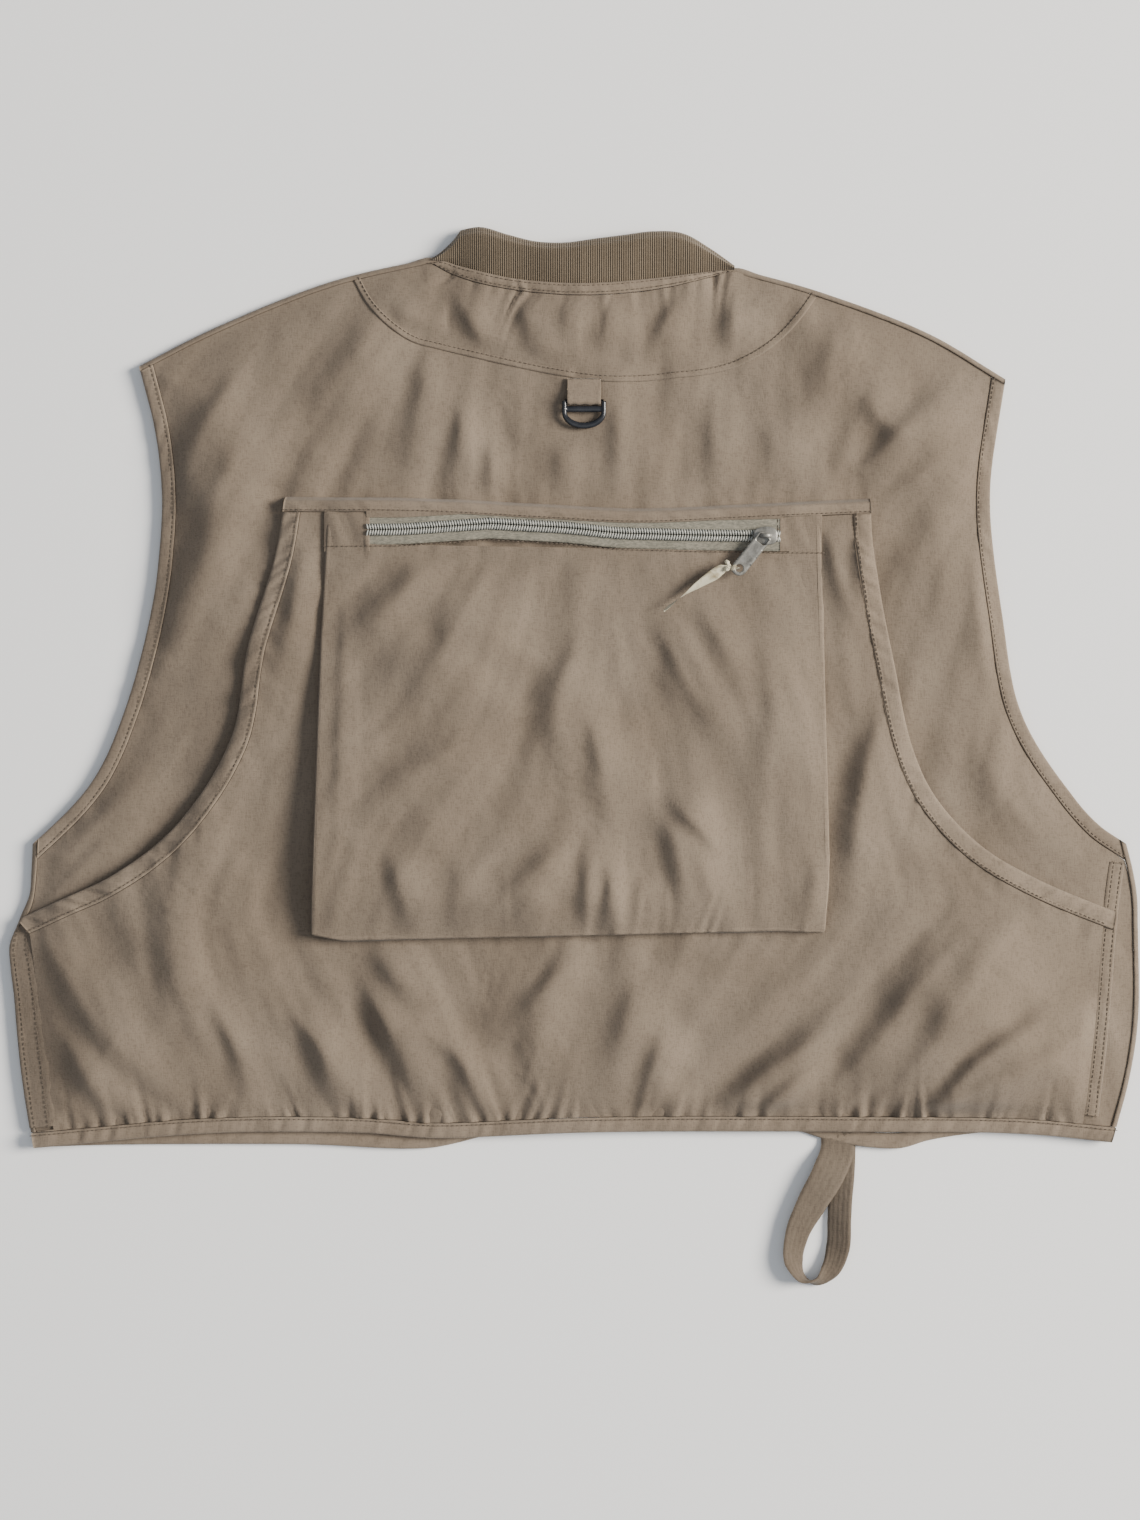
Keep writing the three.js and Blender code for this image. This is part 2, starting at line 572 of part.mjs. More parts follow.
// A flat tab with an eye for the bail and a round hole at its far end, heading along +X.
function pullTab() {
    const half = PULL_WIDTH / 2;
    const bar = PULL_BAR / 2;
    const roundEnd = PULL_LENGTH - half - bar;
    const outline = new THREE.Shape();
    outline.moveTo(-bar, -half);
    outline.lineTo(roundEnd, -half);
    outline.absarc(roundEnd, 0, half, -Math.PI / 2, Math.PI / 2);
    outline.lineTo(-bar, half);
    const eye = new THREE.Path();
    eye.moveTo(bar, -PULL_EYE_HALF_WIDTH);
    eye.lineTo(bar, PULL_EYE_HALF_WIDTH);
    eye.lineTo(PULL_EYE_END, PULL_EYE_HALF_WIDTH);
    eye.lineTo(PULL_EYE_END, -PULL_EYE_HALF_WIDTH);
    const hole = new THREE.Path();
    hole.absarc(roundEnd, 0, PULL_HOLE_RADIUS, 0, Math.PI * 2, true);
    outline.holes = [eye, hole];
    return new THREE.ExtrudeGeometry(outline, {
        depth: PULL_THICKNESS, bevelEnabled: false, curveSegments: PULL_CURVE_STEPS,
    });
}

const sliderTop = coilTop + GAP + SLIDER_PLATE;
const pullBottom = sliderTop + 2 * GAP;
const zipAngle = Math.atan2(zipAlong.y, zipAlong.x);
const bailPoint = ZIP_RIGHT.clone().addScaledVector(zipAlong, -SLIDER_LENGTH / 2 - SLIDER_END_GAP);

const slider = add('pocket_slider', sliderBody(), metal);
slider.position.set(bailPoint.x, bailPoint.y, 0);
slider.rotation.z = zipAngle;
const pull = add('pocket_pull', pullTab(), metal);
pull.position.set(bailPoint.x, bailPoint.y, pullBottom);
pull.rotation.z = PULL_HEADING;

// The ribbon is tied to the pull and turns with it.
const ribbonTail = add('pull_ribbon', slab(RIBBON_OUTLINE.map(vector), 0, RIBBON_THICKNESS), ribbon);
ribbonTail.position.copy(pull.position);
ribbonTail.rotation.z = PULL_HEADING;

// ---- D-ring on its tab below the yoke -------------------------------------------------------------

const roundNose = (radius, from, to, count) => Array.from({ length: count + 1 }, (_, i) => {
    const angle = from + (to - from) * i / count;
    return [RING_AXIS_Y + radius * Math.cos(angle), RING_AXIS_Z + radius * Math.sin(angle)];
});
const tabProfile = [
    [TAB_TOP_Y, BACK_TOP + GAP], [TAB_TOP_Y, BACK_TOP + GAP + CLOTH],
    ...roundNose(TAB_NOSE, Math.PI / 3, Math.PI * 5 / 3, TAB_NOSE_STEPS),
];
const tabBore = roundNose(TAB_BORE, 0, Math.PI * 15 / 8, TAB_BORE_STEPS).map(vector);
add('ring_tab', along(
    tabProfile, RING_X - TAB_WIDTH / 2, RING_X + TAB_WIDTH / 2, [tabBore],
), cloth);

// The bow of a D, carried on from the path's shoulder at this X to the shoulder across from it.
function bow(path, from, shoulder, { side, middle, share }) {
    path.bezierCurveTo(from, -side, from * share, -middle, 0, -middle);
    path.bezierCurveTo(-from * share, -middle, -from, -side, -from, -shoulder);
}

// A D of round-cornered wire: bar in the tab, cross bar below it and a bowed end.
function ringOutline() {
    const half = RING_HALF_WIDTH;
    const inner = half - RING_WIRE;
    const outline = new THREE.Shape();
    outline.moveTo(half, RING_BAR_RADIUS);
    outline.lineTo(-half, RING_BAR_RADIUS);
    outline.lineTo(-half, -RING_SHOULDER);
    bow(outline, -half, RING_SHOULDER, RING_BOW);
    const slot = new THREE.Path();
    slot.moveTo(-inner, -RING_BAR_RADIUS);
    slot.lineTo(inner, -RING_BAR_RADIUS);
    slot.lineTo(inner, -RING_SLOT_BOTTOM);
    slot.lineTo(-inner, -RING_SLOT_BOTTOM);
    const opening = new THREE.Path();
    opening.moveTo(-inner, -RING_CROSS_BAR_BOTTOM);
    opening.lineTo(inner, -RING_CROSS_BAR_BOTTOM);
    bow(opening, inner, RING_CROSS_BAR_BOTTOM, RING_INNER_BOW);
    outline.holes = [slot, opening];
    return outline;
}
// The bar inside the tab is thinner than the rest, so that it turns in the tab's fold.
const ringPlate = new THREE.ExtrudeGeometry(ringOutline(), {
    depth: RING_THICKNESS, bevelEnabled: false, curveSegments: RING_CURVE_STEPS,
}).translate(0, 0, -RING_THICKNESS / 2);
const barHalf = TAB_WIDTH / 2 + GAP;
const barLength = 2 * (barHalf + RING_BAR_OVERLAP);
const roundBar = new THREE.CylinderGeometry(
    RING_BAR_RADIUS, RING_BAR_RADIUS, barLength, 12,
).rotateZ(Math.PI / 2);
const barRoom = box(
    -barHalf, barHalf, -RING_BAR_RADIUS - GAP / 2, RING_THICKNESS, -RING_THICKNESS, RING_THICKNESS,
);
const ring = add('d_ring', join(cut(ringPlate, barRoom), roundBar), plastic);
ring.position.set(RING_X, RING_AXIS_Y, RING_AXIS_Z);

// ---- strap loop below the hem --------------------------------------------------------------------

const loopOuter = smooth(ROD_LOOP_OUTER, ROD_LOOP_OUTER_STEP);
const loopHole = smooth([...ROD_LOOP_HOLE, ROD_LOOP_HOLE[0]], ROD_LOOP_HOLE_STEP).slice(0, -1);
const loopFlat = cut(
    slab(loopOuter, 0, ROD_LOOP_THICKNESS),
    slab(loopHole, -TALL, TALL),
    box(-FAR, FAR, ROD_LOOP_TOP_Y, FAR, -TALL, TALL),
).translate(0, -ROD_LOOP_HINGE_Y, -ROD_LOOP_THICKNESS / 2);
const rodLoop = add('rod_loop', loopFlat, binding);
rodLoop.position.set(0, ROD_LOOP_HINGE_Y, ROD_LOOP_HINGE_Z);
// It slopes from the hem down to the floor.
rodLoop.rotation.x = Math.atan2(ROD_LOOP_HINGE_Z - ROD_LOOP_THICKNESS / 2 - GAP, ROD_LOOP_REACH);

// ---- centre front zip ----------------------------------------------------------------------------

const frontTapeBottom = FRONT_TOP - TAPE_THICKNESS;
const frontCoilTop = frontTapeBottom - GAP;
const frontCoilBottom = frontCoilTop - COIL_HEIGHT;
for (const [suffix, sign] of [['left', -1], ['right', 1]]) {
    const span = (near, far) => (sign > 0 ? [near, far] : [-far, -near]);
    add(`front_tape_${suffix}`, box(
        ...span(CHAIN_HALF_GAP, FRONT_ZIP_HALF), FRONT_ZIP_BOTTOM_Y, FRONT_ZIP_TOP_Y,
        frontTapeBottom, FRONT_TOP,
    ), tape);
    add(`front_coil_${suffix}`, box(
        ...span(CHAIN_HALF_GAP, coilOuter), FRONT_ZIP_BOTTOM_Y, FRONT_ZIP_TOP_Y,
        frontCoilBottom, frontCoilTop,
    ), coil);
}
add('front_zip_box', box(
    -ZIP_BOX_HALF_WIDTH, ZIP_BOX_HALF_WIDTH, FRONT_ZIP_BOTTOM_Y - ZIP_BOX_LENGTH, FRONT_ZIP_BOTTOM_Y - GAP,
    ZIP_BOX_BOTTOM, FRONT_TOP,
), metal);

// The same slider and tab, turned over so that the bail faces the floor, closed at the neck.
const flipHeight = ZIP_TAPE_BOTTOM + FRONT_TOP;
const frontSliderY = FRONT_ZIP_TOP_Y - SLIDER_LENGTH / 2 - GAP;
const turnOver = new THREE.Euler(Math.PI, 0, Math.PI / 2, 'ZYX');
const frontSlider = add('front_slider', sliderBody(), metal);
frontSlider.position.set(0, frontSliderY, flipHeight);
frontSlider.rotation.copy(turnOver);
const frontPull = add('front_pull', pullTab(), metal);
frontPull.position.set(0, frontSliderY, flipHeight - pullBottom);
frontPull.rotation.set(Math.PI, 0, -Math.PI / 2, 'ZYX');

// ---- front pockets: a face, a gusset open towards the collar, and a flap over the mouth ------------

const flapTop = FRONT_BOTTOM - GAP;
for (const [name, size] of Object.entries(FRONT_POCKETS)) {
    for (const [suffix, sign] of [['left', -1], ['right', 1]]) {
        const [left, right] = sign > 0 ? [size.inner, size.outer] : [-size.outer, -size.inner];
        const lap = size.top - FLAP_LAP;
        const mouth = size.top + FLAP_PAST_MOUTH;
        const hinge = lap + FLAP_DROP;
        add(`${name}_pocket_${suffix}`, along([
            [size.bottom, FLAP_BOTTOM], [lap - GAP, FLAP_BOTTOM], [lap - GAP, POCKET_LIP_BOTTOM],
            [size.top, POCKET_LIP_BOTTOM], [size.top, POCKET_FACE_TOP], [size.bottom, POCKET_FACE_TOP],
        ], left, right), cloth);
        add(`${name}_gusset_${suffix}`, cut(
            box(left, right, size.bottom, size.top, GUSSET_BOTTOM, flapTop),
            box(left + POCKET_WALL, right - POCKET_WALL, size.bottom + POCKET_WALL, FAR, -TALL, TALL),
        ), cloth);
        add(`${name}_flap_${suffix}`, along([
            [lap, FLAP_BOTTOM], [mouth, FLAP_BOTTOM], [hinge, flapTop - CLOTH], [hinge, flapTop],
            [hinge - FLAP_HINGE_FLAT, flapTop], [mouth, FLAP_BOTTOM + CLOTH], [lap, FLAP_BOTTOM + CLOTH],
        ], left - FLAP_PAST_SIDE, right + FLAP_PAST_SIDE), cloth);
    }
}

// The origin is the middle of the vest's box, on the floor.
const bounds = new THREE.Box3().setFromObject(vest);
const middle = bounds.getCenter(new THREE.Vector3());
vest.position.set(-middle.x, -middle.y, -bounds.min.z);

export default vest;
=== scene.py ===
import json
import math

import bpy
import numpy as np
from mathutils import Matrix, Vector, geometry


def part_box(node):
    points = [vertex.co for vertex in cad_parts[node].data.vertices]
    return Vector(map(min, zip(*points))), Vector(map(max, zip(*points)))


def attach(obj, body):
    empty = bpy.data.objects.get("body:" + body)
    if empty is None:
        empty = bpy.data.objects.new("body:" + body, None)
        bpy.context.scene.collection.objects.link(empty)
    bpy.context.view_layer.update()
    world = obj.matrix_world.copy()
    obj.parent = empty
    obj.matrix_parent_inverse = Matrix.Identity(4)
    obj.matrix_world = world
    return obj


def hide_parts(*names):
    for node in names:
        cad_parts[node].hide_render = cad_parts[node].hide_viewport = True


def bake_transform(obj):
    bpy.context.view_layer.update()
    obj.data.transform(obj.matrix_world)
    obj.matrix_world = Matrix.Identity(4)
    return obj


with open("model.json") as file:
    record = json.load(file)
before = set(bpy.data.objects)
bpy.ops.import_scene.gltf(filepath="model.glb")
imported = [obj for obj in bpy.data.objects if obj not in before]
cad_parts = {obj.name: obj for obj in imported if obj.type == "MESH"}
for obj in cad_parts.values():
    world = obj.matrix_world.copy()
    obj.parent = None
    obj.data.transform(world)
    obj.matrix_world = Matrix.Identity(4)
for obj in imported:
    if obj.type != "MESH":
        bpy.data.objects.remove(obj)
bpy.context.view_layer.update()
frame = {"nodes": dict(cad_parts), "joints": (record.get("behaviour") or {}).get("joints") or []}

# A short fishing vest lies on its front. Shapes are in millimetres in the CAD's frame, and become
# metres when a mesh is made. Materials, lamps' sizes and sheets' flat sizes are in metres.
MM = 0.001

# ---- driving sizes ----

# The spacing of mesh points in each kind of piece.
SHEET_STEP = 2.0
YOKE_STEP = 1.6
POCKET_STEP = 1.7
HIDDEN_STEP = 8.0
FRONT_STEP = 7.0
FRONT_POCKET_STEP = 4.0
FRONT_FLAP_STEP = 3.0
BAND_STEP = 1.3

# Heights of the cloth over the floor: thin at the seams, lofted in the middle.
RIM_Z = 4.6
FRONT_RIM_Z = 1.9
FRONT_Z = 8.4
EDGE_REACH = 16.0
EDGE_RISE = 4.0
MIDDLE_RISE = 7.0
MIDDLE_REACH = 150
CARGO_LOFT = 4.8
# A fold falls gently on one side and steeply on the other.
FOLD_LIFT = 1.45
GENTLE_SIDE = 1.8
STEEP_SIDE = 0.85
# A low swell across the back, at the cargo panel's top binding.
TOP_HUMP = 2.2
TOP_HUMP_Y = 140
TOP_HUMP_WIDTH = 34.0
# The cargo cloth sinks under the pocket's zip, which reaches this far to each side.
ZIP_SINK = 2.8
ZIP_SINK_Y = 127
ZIP_SINK_WIDTH = 9
ZIP_REACH = 118

# The foot of the front zip, where the cloth above leaves room for its slider.
FRONT_ZIP_LIFT = 4.2
FRONT_ZIP_FOOT_Y = -184
FRONT_ZIP_SPREAD = (26, 24)

# The bellows pocket: shallow at the zip and on the right, deepest at the lower left.
POCKET_DEEP_LEFT = 12.5
POCKET_DEEP_RIGHT = 5.5
POCKET_MIDDLE = 3.0
POCKET_TOP_DEPTH = 2.4
POCKET_FOOT_DEPTH = 4.5

# Stitches, the knit's ribs, and the zips' coils and tapes.
STITCH_PITCH = 2.7
STITCH_LENGTH = 1.9
STITCH_WIDTH = 0.42
STITCH_HEIGHT = 0.28

RIB_PITCH = 1.25
RIB_DEPTH = 0.7
RIB_STEPS = 8
RIB_ROWS = 26
COLLAR_END = 16

COIL_PITCH = 1.5
COIL_WIRE = 0.42
COIL_STEPS = 12
COIL_SIDES = 7
TAPE_LOWER_WIDTH = 7.6
TAPE_UPPER_WIDTHS = (7.2, 6.0, 10.2)
TAPE_TUCK = 6.8
ZIP_SEAM_Y = 116.2
ZIP_END_TOP_Y = 141.0

SIDE_STRIP = 7.5
CARGO_WALL_TOP_Y = -90
TAB_FOOT_Z = 15.6

# The sliders, the pull tabs and the D-ring. The front slider is the pocket's turned over, and its
# heights count down from the flip's.
SLIDER_TOP = 29.0
SLIDER_BOTTOM = 22.8
SLIDER_HALF_LENGTH = 6.8
SLIDER_HALF_WIDTH = 5.2
BAIL_HALF_THICKNESS = 0.62
BAIL_HALF_WIDTH = 1.302
FRONT_SLIDER_FLIP_Z = 33.6
FRONT_BOX_Z = (4.4, 7.2)
TAB_LENGTH = 28.6
TAB_HALF_WIDTH = 4.3
TAB_THICKNESS = 1.3
TAB_HOLE = 2.2
RING_WIRE = 1.5

# The cloth's two colours and the spacing of its threads.
CLOTH = (0.159, 0.1228, 0.0908)
CLOTH_FADED = (0.188, 0.1484, 0.1122)
WEAVE_PITCH = 0.00046

# The picture's height is this much of the ground.
FRAME_HEIGHT = 858.8
CAMERA_LENS = 85.0
CAMERA_AIM = (-2.7, -1.1, 14.0)
CAMERA_REACH = 90
# A warm lamp low on the right is the main light, and a weak cool one softens the shadows.
KEY_PLACE = (4625, 725, 2875)
KEY_SIZE = 2.5
KEY_POWER = 725
KEY_COLOUR = (1.0, 0.945, 0.86)
FILL_PLACE = (-300, -500, 2200)
FILL_SIZE = 2.4
FILL_POWER = 9
FILL_COLOUR = (0.94, 0.97, 1.0)
SKY_COLOUR = (0.84, 0.91, 1.0, 1)
SKY_STRENGTH = 0.36
FLOOR_HALF = 40.0
FLOOR_COLOUR = (0.93, 0.93, 0.93, 1)

# A chord longer than this is a straight edge of the outline, not a step round a curve.
LONG_CHORD = 40.0
# The grid that holds the folds' heights, which covers the whole vest above the strap loop.
GRID_STEP = 2.0
GRID_LOW = (-340.0, -250.0)
GRID_CELLS = (341, 281)

# ---- folds seen on each panel: centre line, half width, height ----

BACK_FOLDS = [
    ([(-178, 232), (-200, 200), (-216, 165), (-228, 124)], 8, 4.6),
    ([(-156, 218), (-184, 180), (-200, 145), (-208, 110), (-222, 60), (-234, 16)], 13, 6.0),
    ([(-98, 256), (-128, 216), (-154, 178)], 13, 4.2),
    ([(-80, 240), (-85, 200), (-93, 146)], 8, 4.0),
    ([(-63, 206), (-64, 146)], 6, 3.0),
    ([(-46, 184), (-46, 144)], 5, 2.6),
    ([(-8, 184), (-5, 143)], 6, 2.4),
    ([(26, 206), (30, 144)], 10, 2.4),
    ([(76, 210), (85, 146)], 9, 3.0),
    ([(110, 206), (118, 146)], 8, 2.8),
    ([(146, 262), (147, 215), (160, 178)], 10, 4.6),
    ([(163, 210), (176, 190), (196, 182)], 6, 3.2),
    ([(156, 154), (190, 186), (226, 218)], 9, 5.4),
    ([(170, 138), (204, 164), (226, 196)], 9, 4.4),
    ([(206, 150), (212, 90), (218, 30)], 11, 2.6),
    ([(229, 130), (233, 60), (242, 16)], 7, 2.4),
    ([(222, 24), (246, -26), (290, -64)], 10, 2.8),
    ([(-236, 4), (-262, -32), (-300, -64)], 10, 2.4),
]
YOKE_FOLDS = [
    ([(-72, 270), (-56, 245), (-42, 216)], 6, 3.4),
    ([(-34, 264), (-22, 240), (-14, 214)], 6, 3.0),
    ([(-4, 262), (-2, 232)], 5, 2.2),
    ([(22, 262), (16, 226)], 6, 2.6),
    ([(64, 266), (52, 246), (44, 218)], 6, 2.8),
    ([(92, 262), (86, 228)], 7, 2.4),
    ([(-100, 262), (-96, 232)], 8, 2.4),
]
CARGO_FOLDS = [
    ([(-300, -88), (-284, -124), (-266, -150), (-244, -174), (-204, -206)], 9, 4.4),
    ([(-293, -148), (-272, -182), (-252, -208)], 6, 3.2),
    ([(-234, -76), (-224, -130), (-202, -178)], 12, 4.4),
    ([(-206, -130), (-188, -168), (-176, -206)], 6, 3.6),
    ([(-162, -138), (-140, -170), (-126, -210)], 7, 5.0),
    ([(-124, -118), (-103, -156), (-80, -206)], 7, 6.2),
    ([(-86, -150), (-62, -172), (-42, -212)], 6, 5.0),
    ([(-122, -100), (-94, -128), (-74, -158)], 8, 3.8),
    ([(10, -102), (-20, -135), (-48, -174)], 8, 4.2),
    ([(42, -104), (30, -150), (20, -200)], 9, 4.4),
    ([(56, -142), (36, -204)], 6, 3.6),
    ([(72, -208), (112, -176), (172, -136)], 8, 6.4),
    ([(98, -210), (122, -186), (150, -166)], 5, 3.4),
    ([(128, -208), (172, -160), (205, -118), (244, -78)], 9, 7.4),
    ([(168, -210), (204, -160), (236, -112), (268, -78)], 10, 7.8),
    ([(196, -206), (226, -172), (262, -146)], 5, 4.0),
    ([(186, -208), (236, -184), (276, -168), (312, -160)], 8, 8.0),
    ([(210, -186), (250, -158), (290, -138), (312, -130)], 9, 5.6),
    ([(140, 140), (150, 100), (165, 58)], 6, 4.6),
    ([(158, 130), (167, 86)], 5, 3.0),
    ([(182, 48), (166, 0), (158, -48), (148, -104)], 8, 5.2),
    ([(-150, 132), (-157, 84), (-168, 36)], 6, 3.0),
    ([(-190, -10), (-218, -66), (-244, -124)], 14, 3.6),
]
POCKET_FOLDS = [
    ([(-70, 118), (-102, 86), (-134, 54)], 9, 4.4),
    ([(-34, 118), (-60, 82), (-80, 40), (-100, 0)], 12, 6.0),
    ([(-44, 22), (-84, -8), (-124, -34)], 10, 3.4),
    ([(12, 84), (-8, 38), (-4, 0), (2, -30)], 9, 4.2),
    ([(5, 34), (15, 0), (24, -44)], 7, 3.4),
    ([(40, 92), (64, 44), (86, 18), (104, -20)], 9, 4.2),
    ([(66, 94), (92, 52), (104, 24)], 7, 3.8),
    ([(106, 92), (113, 30), (108, -52)], 9, 3.0),
    ([(46, -14), (60, -56), (72, -104)], 9, 5.2),
    ([(48, -18), (66, -34), (90, -60)], 5, 3.4),
    ([(8, -44), (-22, -66), (-54, -94)], 9, 4.4),
    ([(10, -36), (8, -70), (8, -106)], 6, 3.8),
    ([(20, -54), (22, -106)], 5, 3.4),
    ([(38, -60), (38, -104)], 5, 2.4),
    ([(139, -50), (138, -104)], 8, 2.8),
    ([(-106, -44), (-86, -104)], 7, 3.0),
    ([(-60, -50), (-66, -104)], 8, 2.4),
    ([(-129, 112), (-131, 20), (-134, -92)], 3, 1.0),
]

# Where the long soft wrinkles of each layer run: a place, and their slope in degrees.
BACK_FLOW = [
    (-215, 170, 62), (-190, 200, 60), (-160, 200, 62), (-120, 215, 50), (-85, 190, 82), (-50, 180, 92),
    (0, 170, 88), (50, 190, 85), (100, 180, 85), (140, 220, 102), (185, 190, 45), (205, 150, 55),
    (220, 80, 80), (230, 20, 75), (-215, 80, 70), (-235, 20, 60), (-270, -50, 45), (280, -50, 135),
]
CARGO_FLOW = [
    (-300, -130, 115), (-270, -160, 125), (-240, -190, 140), (-270, -100, 110), (-235, -120, 98),
    (-200, -150, 118), (-150, -170, 115), (-105, -165, 118), (-60, -185, 118), (-90, -120, 125),
    (-20, -140, 60), (20, -150, 70), (50, -180, 70), (90, -180, 38), (130, -170, 40), (180, -140, 50),
    (230, -120, 52), (220, -180, 40), (270, -170, 28), (280, -120, 35), (-160, 60, 75), (-170, 0, 70),
    (-200, -50, 60), (150, 100, 105), (160, 40, 105), (155, -30, 85), (200, -30, 130), (250, -60, 140),
]
POCKET_FLOW = [
    (-120, 70, 45), (-80, 70, 55), (-40, 70, 68), (-100, 0, 38), (-20, 30, 72), (20, 40, 88), (60, 50, 120),
    (100, 60, 115), (10, -10, 105), (-20, -60, 40), (10, -80, 90), (55, -60, 105), (100, -30, 95),
    (-90, -70, 60), (120, -80, 100), (-130, -80, 80),
]

# ---- small number helpers ----


def smoothstep(low, high, value):
    t = np.clip((value - low) / (high - low), 0, 1)
    return t * t * (3 - 2 * t)


def bell(distance, width):
    """One at no distance, falling smoothly to nothing."""
    return np.exp(-((distance / width) ** 2))


def wave_noise(position, seed):
    """Smooth noise along a line, from -1 to 1, with one new value at each whole number."""
    values = np.random.default_rng(seed).uniform(-1, 1, 997)
    cell = np.floor(position).astype(int)
    t = position - cell
    t = t * t * (3 - 2 * t)
    return values[cell % 997] * (1 - t) + values[(cell + 1) % 997] * t


def cloud_noise(x, y, size, seed):
    """Smooth noise over the plane, from about -1 to 1, with lumps of the given size."""
    rng = np.random.default_rng(seed)
    angle = rng.uniform(0, 2 * math.pi, (61, 61))
    x, y = x / size + 200.37, y / size + 200.71
    i, j = np.floor(x).astype(int), np.floor(y).astype(int)
    u, v = x - i, y - j

    def corner(di, dj):
        a = angle[(i + di) % 61, (j + dj) % 61]
        return np.cos(a) * (u - di) + np.sin(a) * (v - dj)

    s, t = u * u * (3 - 2 * u), v * v * (3 - 2 * v)
    low = corner(0, 0) * (1 - s) + corner(1, 0) * s
    high = corner(0, 1) * (1 - s) + corner(1, 1) * s
    return 1.5 * (low * (1 - t) + high * t)


def unit(vectors):
    """The vectors made one long."""
    return vectors / np.linalg.norm(vectors, axis=-1, keepdims=True)


def round_turn(count):
    """Equal angles once round a circle."""
    return np.arange(count) * 2 * math.pi / count


# ---- lines and outlines ----


def headings(line):
    """Steps of length one along the line."""
    return unit(np.gradient(line, axis=0))


def leftward(line):
    """Sideways, to the left of the line's direction."""
    heading = headings(line)
    return np.stack([-heading[:, 1], heading[:, 0]], axis=1)


def beside(line, distance):
    """The line moved to the left of its direction."""
    return line + distance * leftward(line)


def closed(loop):
    """A loop with its first point again at its end."""
    return np.vstack([loop, loop[:1]])


def lengths(line):
    """How far along a line each of its points is."""
    return np.concatenate([[0], np.cumsum(np.linalg.norm(np.diff(line, axis=0), axis=1))])


def curve_through(points, step):
    """Points about one step apart along a smooth curve through the given ones."""
    points = np.asarray(points, float)
    s = lengths(points)
    ends = []
    for k in np.flatnonzero(np.diff(s) > LONG_CHORD):
        ends += [(k + 1, points[k] * (1 - t) + points[k + 1] * t) for t in (0.04, 0.3, 0.7, 0.96)]
    if ends:
        points = np.insert(points, [k for k, _ in ends], [point for _, point in ends], axis=0)
        s = lengths(points)
    count = max(2, int(round(s[-1] / step)) + 1)
    t = np.linspace(0, s[-1], count)
    if len(points) == 2:
        return points[0] + (points[1] - points[0]) * (t / s[-1])[:, None]
    slope = np.gradient(points, s, axis=0)
    k = np.clip(np.searchsorted(s, t, side="right") - 1, 0, len(s) - 2)
    h = (s[k + 1] - s[k])[:, None]
    u = (t - s[k])[:, None] / h
    return (
        points[k] * (2 * u**3 - 3 * u**2 + 1)
        + slope[k] * h * (u**3 - 2 * u**2 + u)
        + points[k + 1] * (3 * u**2 - 2 * u**3)
        + slope[k + 1] * h * (u**3 - u**2)
    )


def resample(line, count):
    s = lengths(line)
    t = np.linspace(0, s[-1], count)
    return np.stack([np.interp(t, s, line[:, i]) for i in range(line.shape[1])], axis=1)


def along(line, x, y):
    """How far along the line the nearest point is, how far off it lies, and on which side."""
    line = np.asarray(line, float)
    s = lengths(line)
    best, where, side = np.full(x.shape, np.inf), np.zeros(x.shape), np.ones(x.shape)
    for k in range(len(line) - 1):
        (ax, ay), (bx, by) = line[k], line[k + 1]
        dx, dy = bx - ax, by - ay
        size = dx * dx + dy * dy
        t = np.clip(((x - ax) * dx + (y - ay) * dy) / size, 0, 1)
        distance = np.hypot(x - ax - t * dx, y - ay - t * dy)
        nearer = distance < best
        best = np.where(nearer, distance, best)
        where = np.where(nearer, s[k] + t * math.sqrt(size), where)
        left = dx * (y - ay) - dy * (x - ax) > 0
        side = np.where(nearer, np.where(left, 1.0, -1.0), side)
    return where, best, side


def off(lines, x, y):
    """How far each point lies from the nearest of the lines."""
    return np.minimum.reduce([along(line, x, y)[1] for line in lines])


def fold_height(folds, x, y):
    """The folds' own height: each is a rounded ridge, or a valley, that fades out at its ends."""
    total = np.zeros(x.shape)
    for number, (points, width, height) in enumerate(folds):
        line = curve_through(points, 9.0)
        low, high = line.min(axis=0) - 3 * width, line.max(axis=0) + 3 * width
        near = (x > low[0]) & (x < high[0]) & (y > low[1]) & (y < high[1])
        if not near.any():
            continue
        s, distance, side = along(line, x[near], y[near])
        share = s / lengths(line)[-1]
        taper = smoothstep(0, 0.42, share) * smoothstep(0, 0.5, 1 - share)
        wander = 1.25 * (1 + 0.22 * wave_noise(s / 17 + 13 * number, 41)) * (0.75 + 0.6 * share)
        east = side * math.copysign(1, line[0][1] - line[-1][1]) > 0
        steep = np.where(east == (height > 0), GENTLE_SIDE, STEEP_SIDE)
        total[near] += FOLD_LIFT * height * taper * bell(distance, width * steep * wander)
    return total


def outline(node):
    """The longest outline of a CAD plate's upper face, in millimetres."""
    mesh = frame["nodes"][node].data
    mesh.calc_loop_triangles()
    corner = [(round(v.co.x / MM, 2), round(v.co.y / MM, 2)) for v in mesh.vertices]
    edges = set()
    for triangle in mesh.loop_triangles:
        if triangle.normal.z > 0.9:
            a, b, c = (corner[i] for i in triangle.vertices)
            edges |= {(a, b), (b, c), (c, a)}
    following = {a: b for a, b in edges if (b, a) not in edges and a != b}
    loops = []
    while following:
        start, point = following.popitem()
        loop = [start]
        while point != start and point in following:
            loop.append(point)
            point = following.pop(point)
        loops.append(np.array(loop))
    return max(loops, key=len)


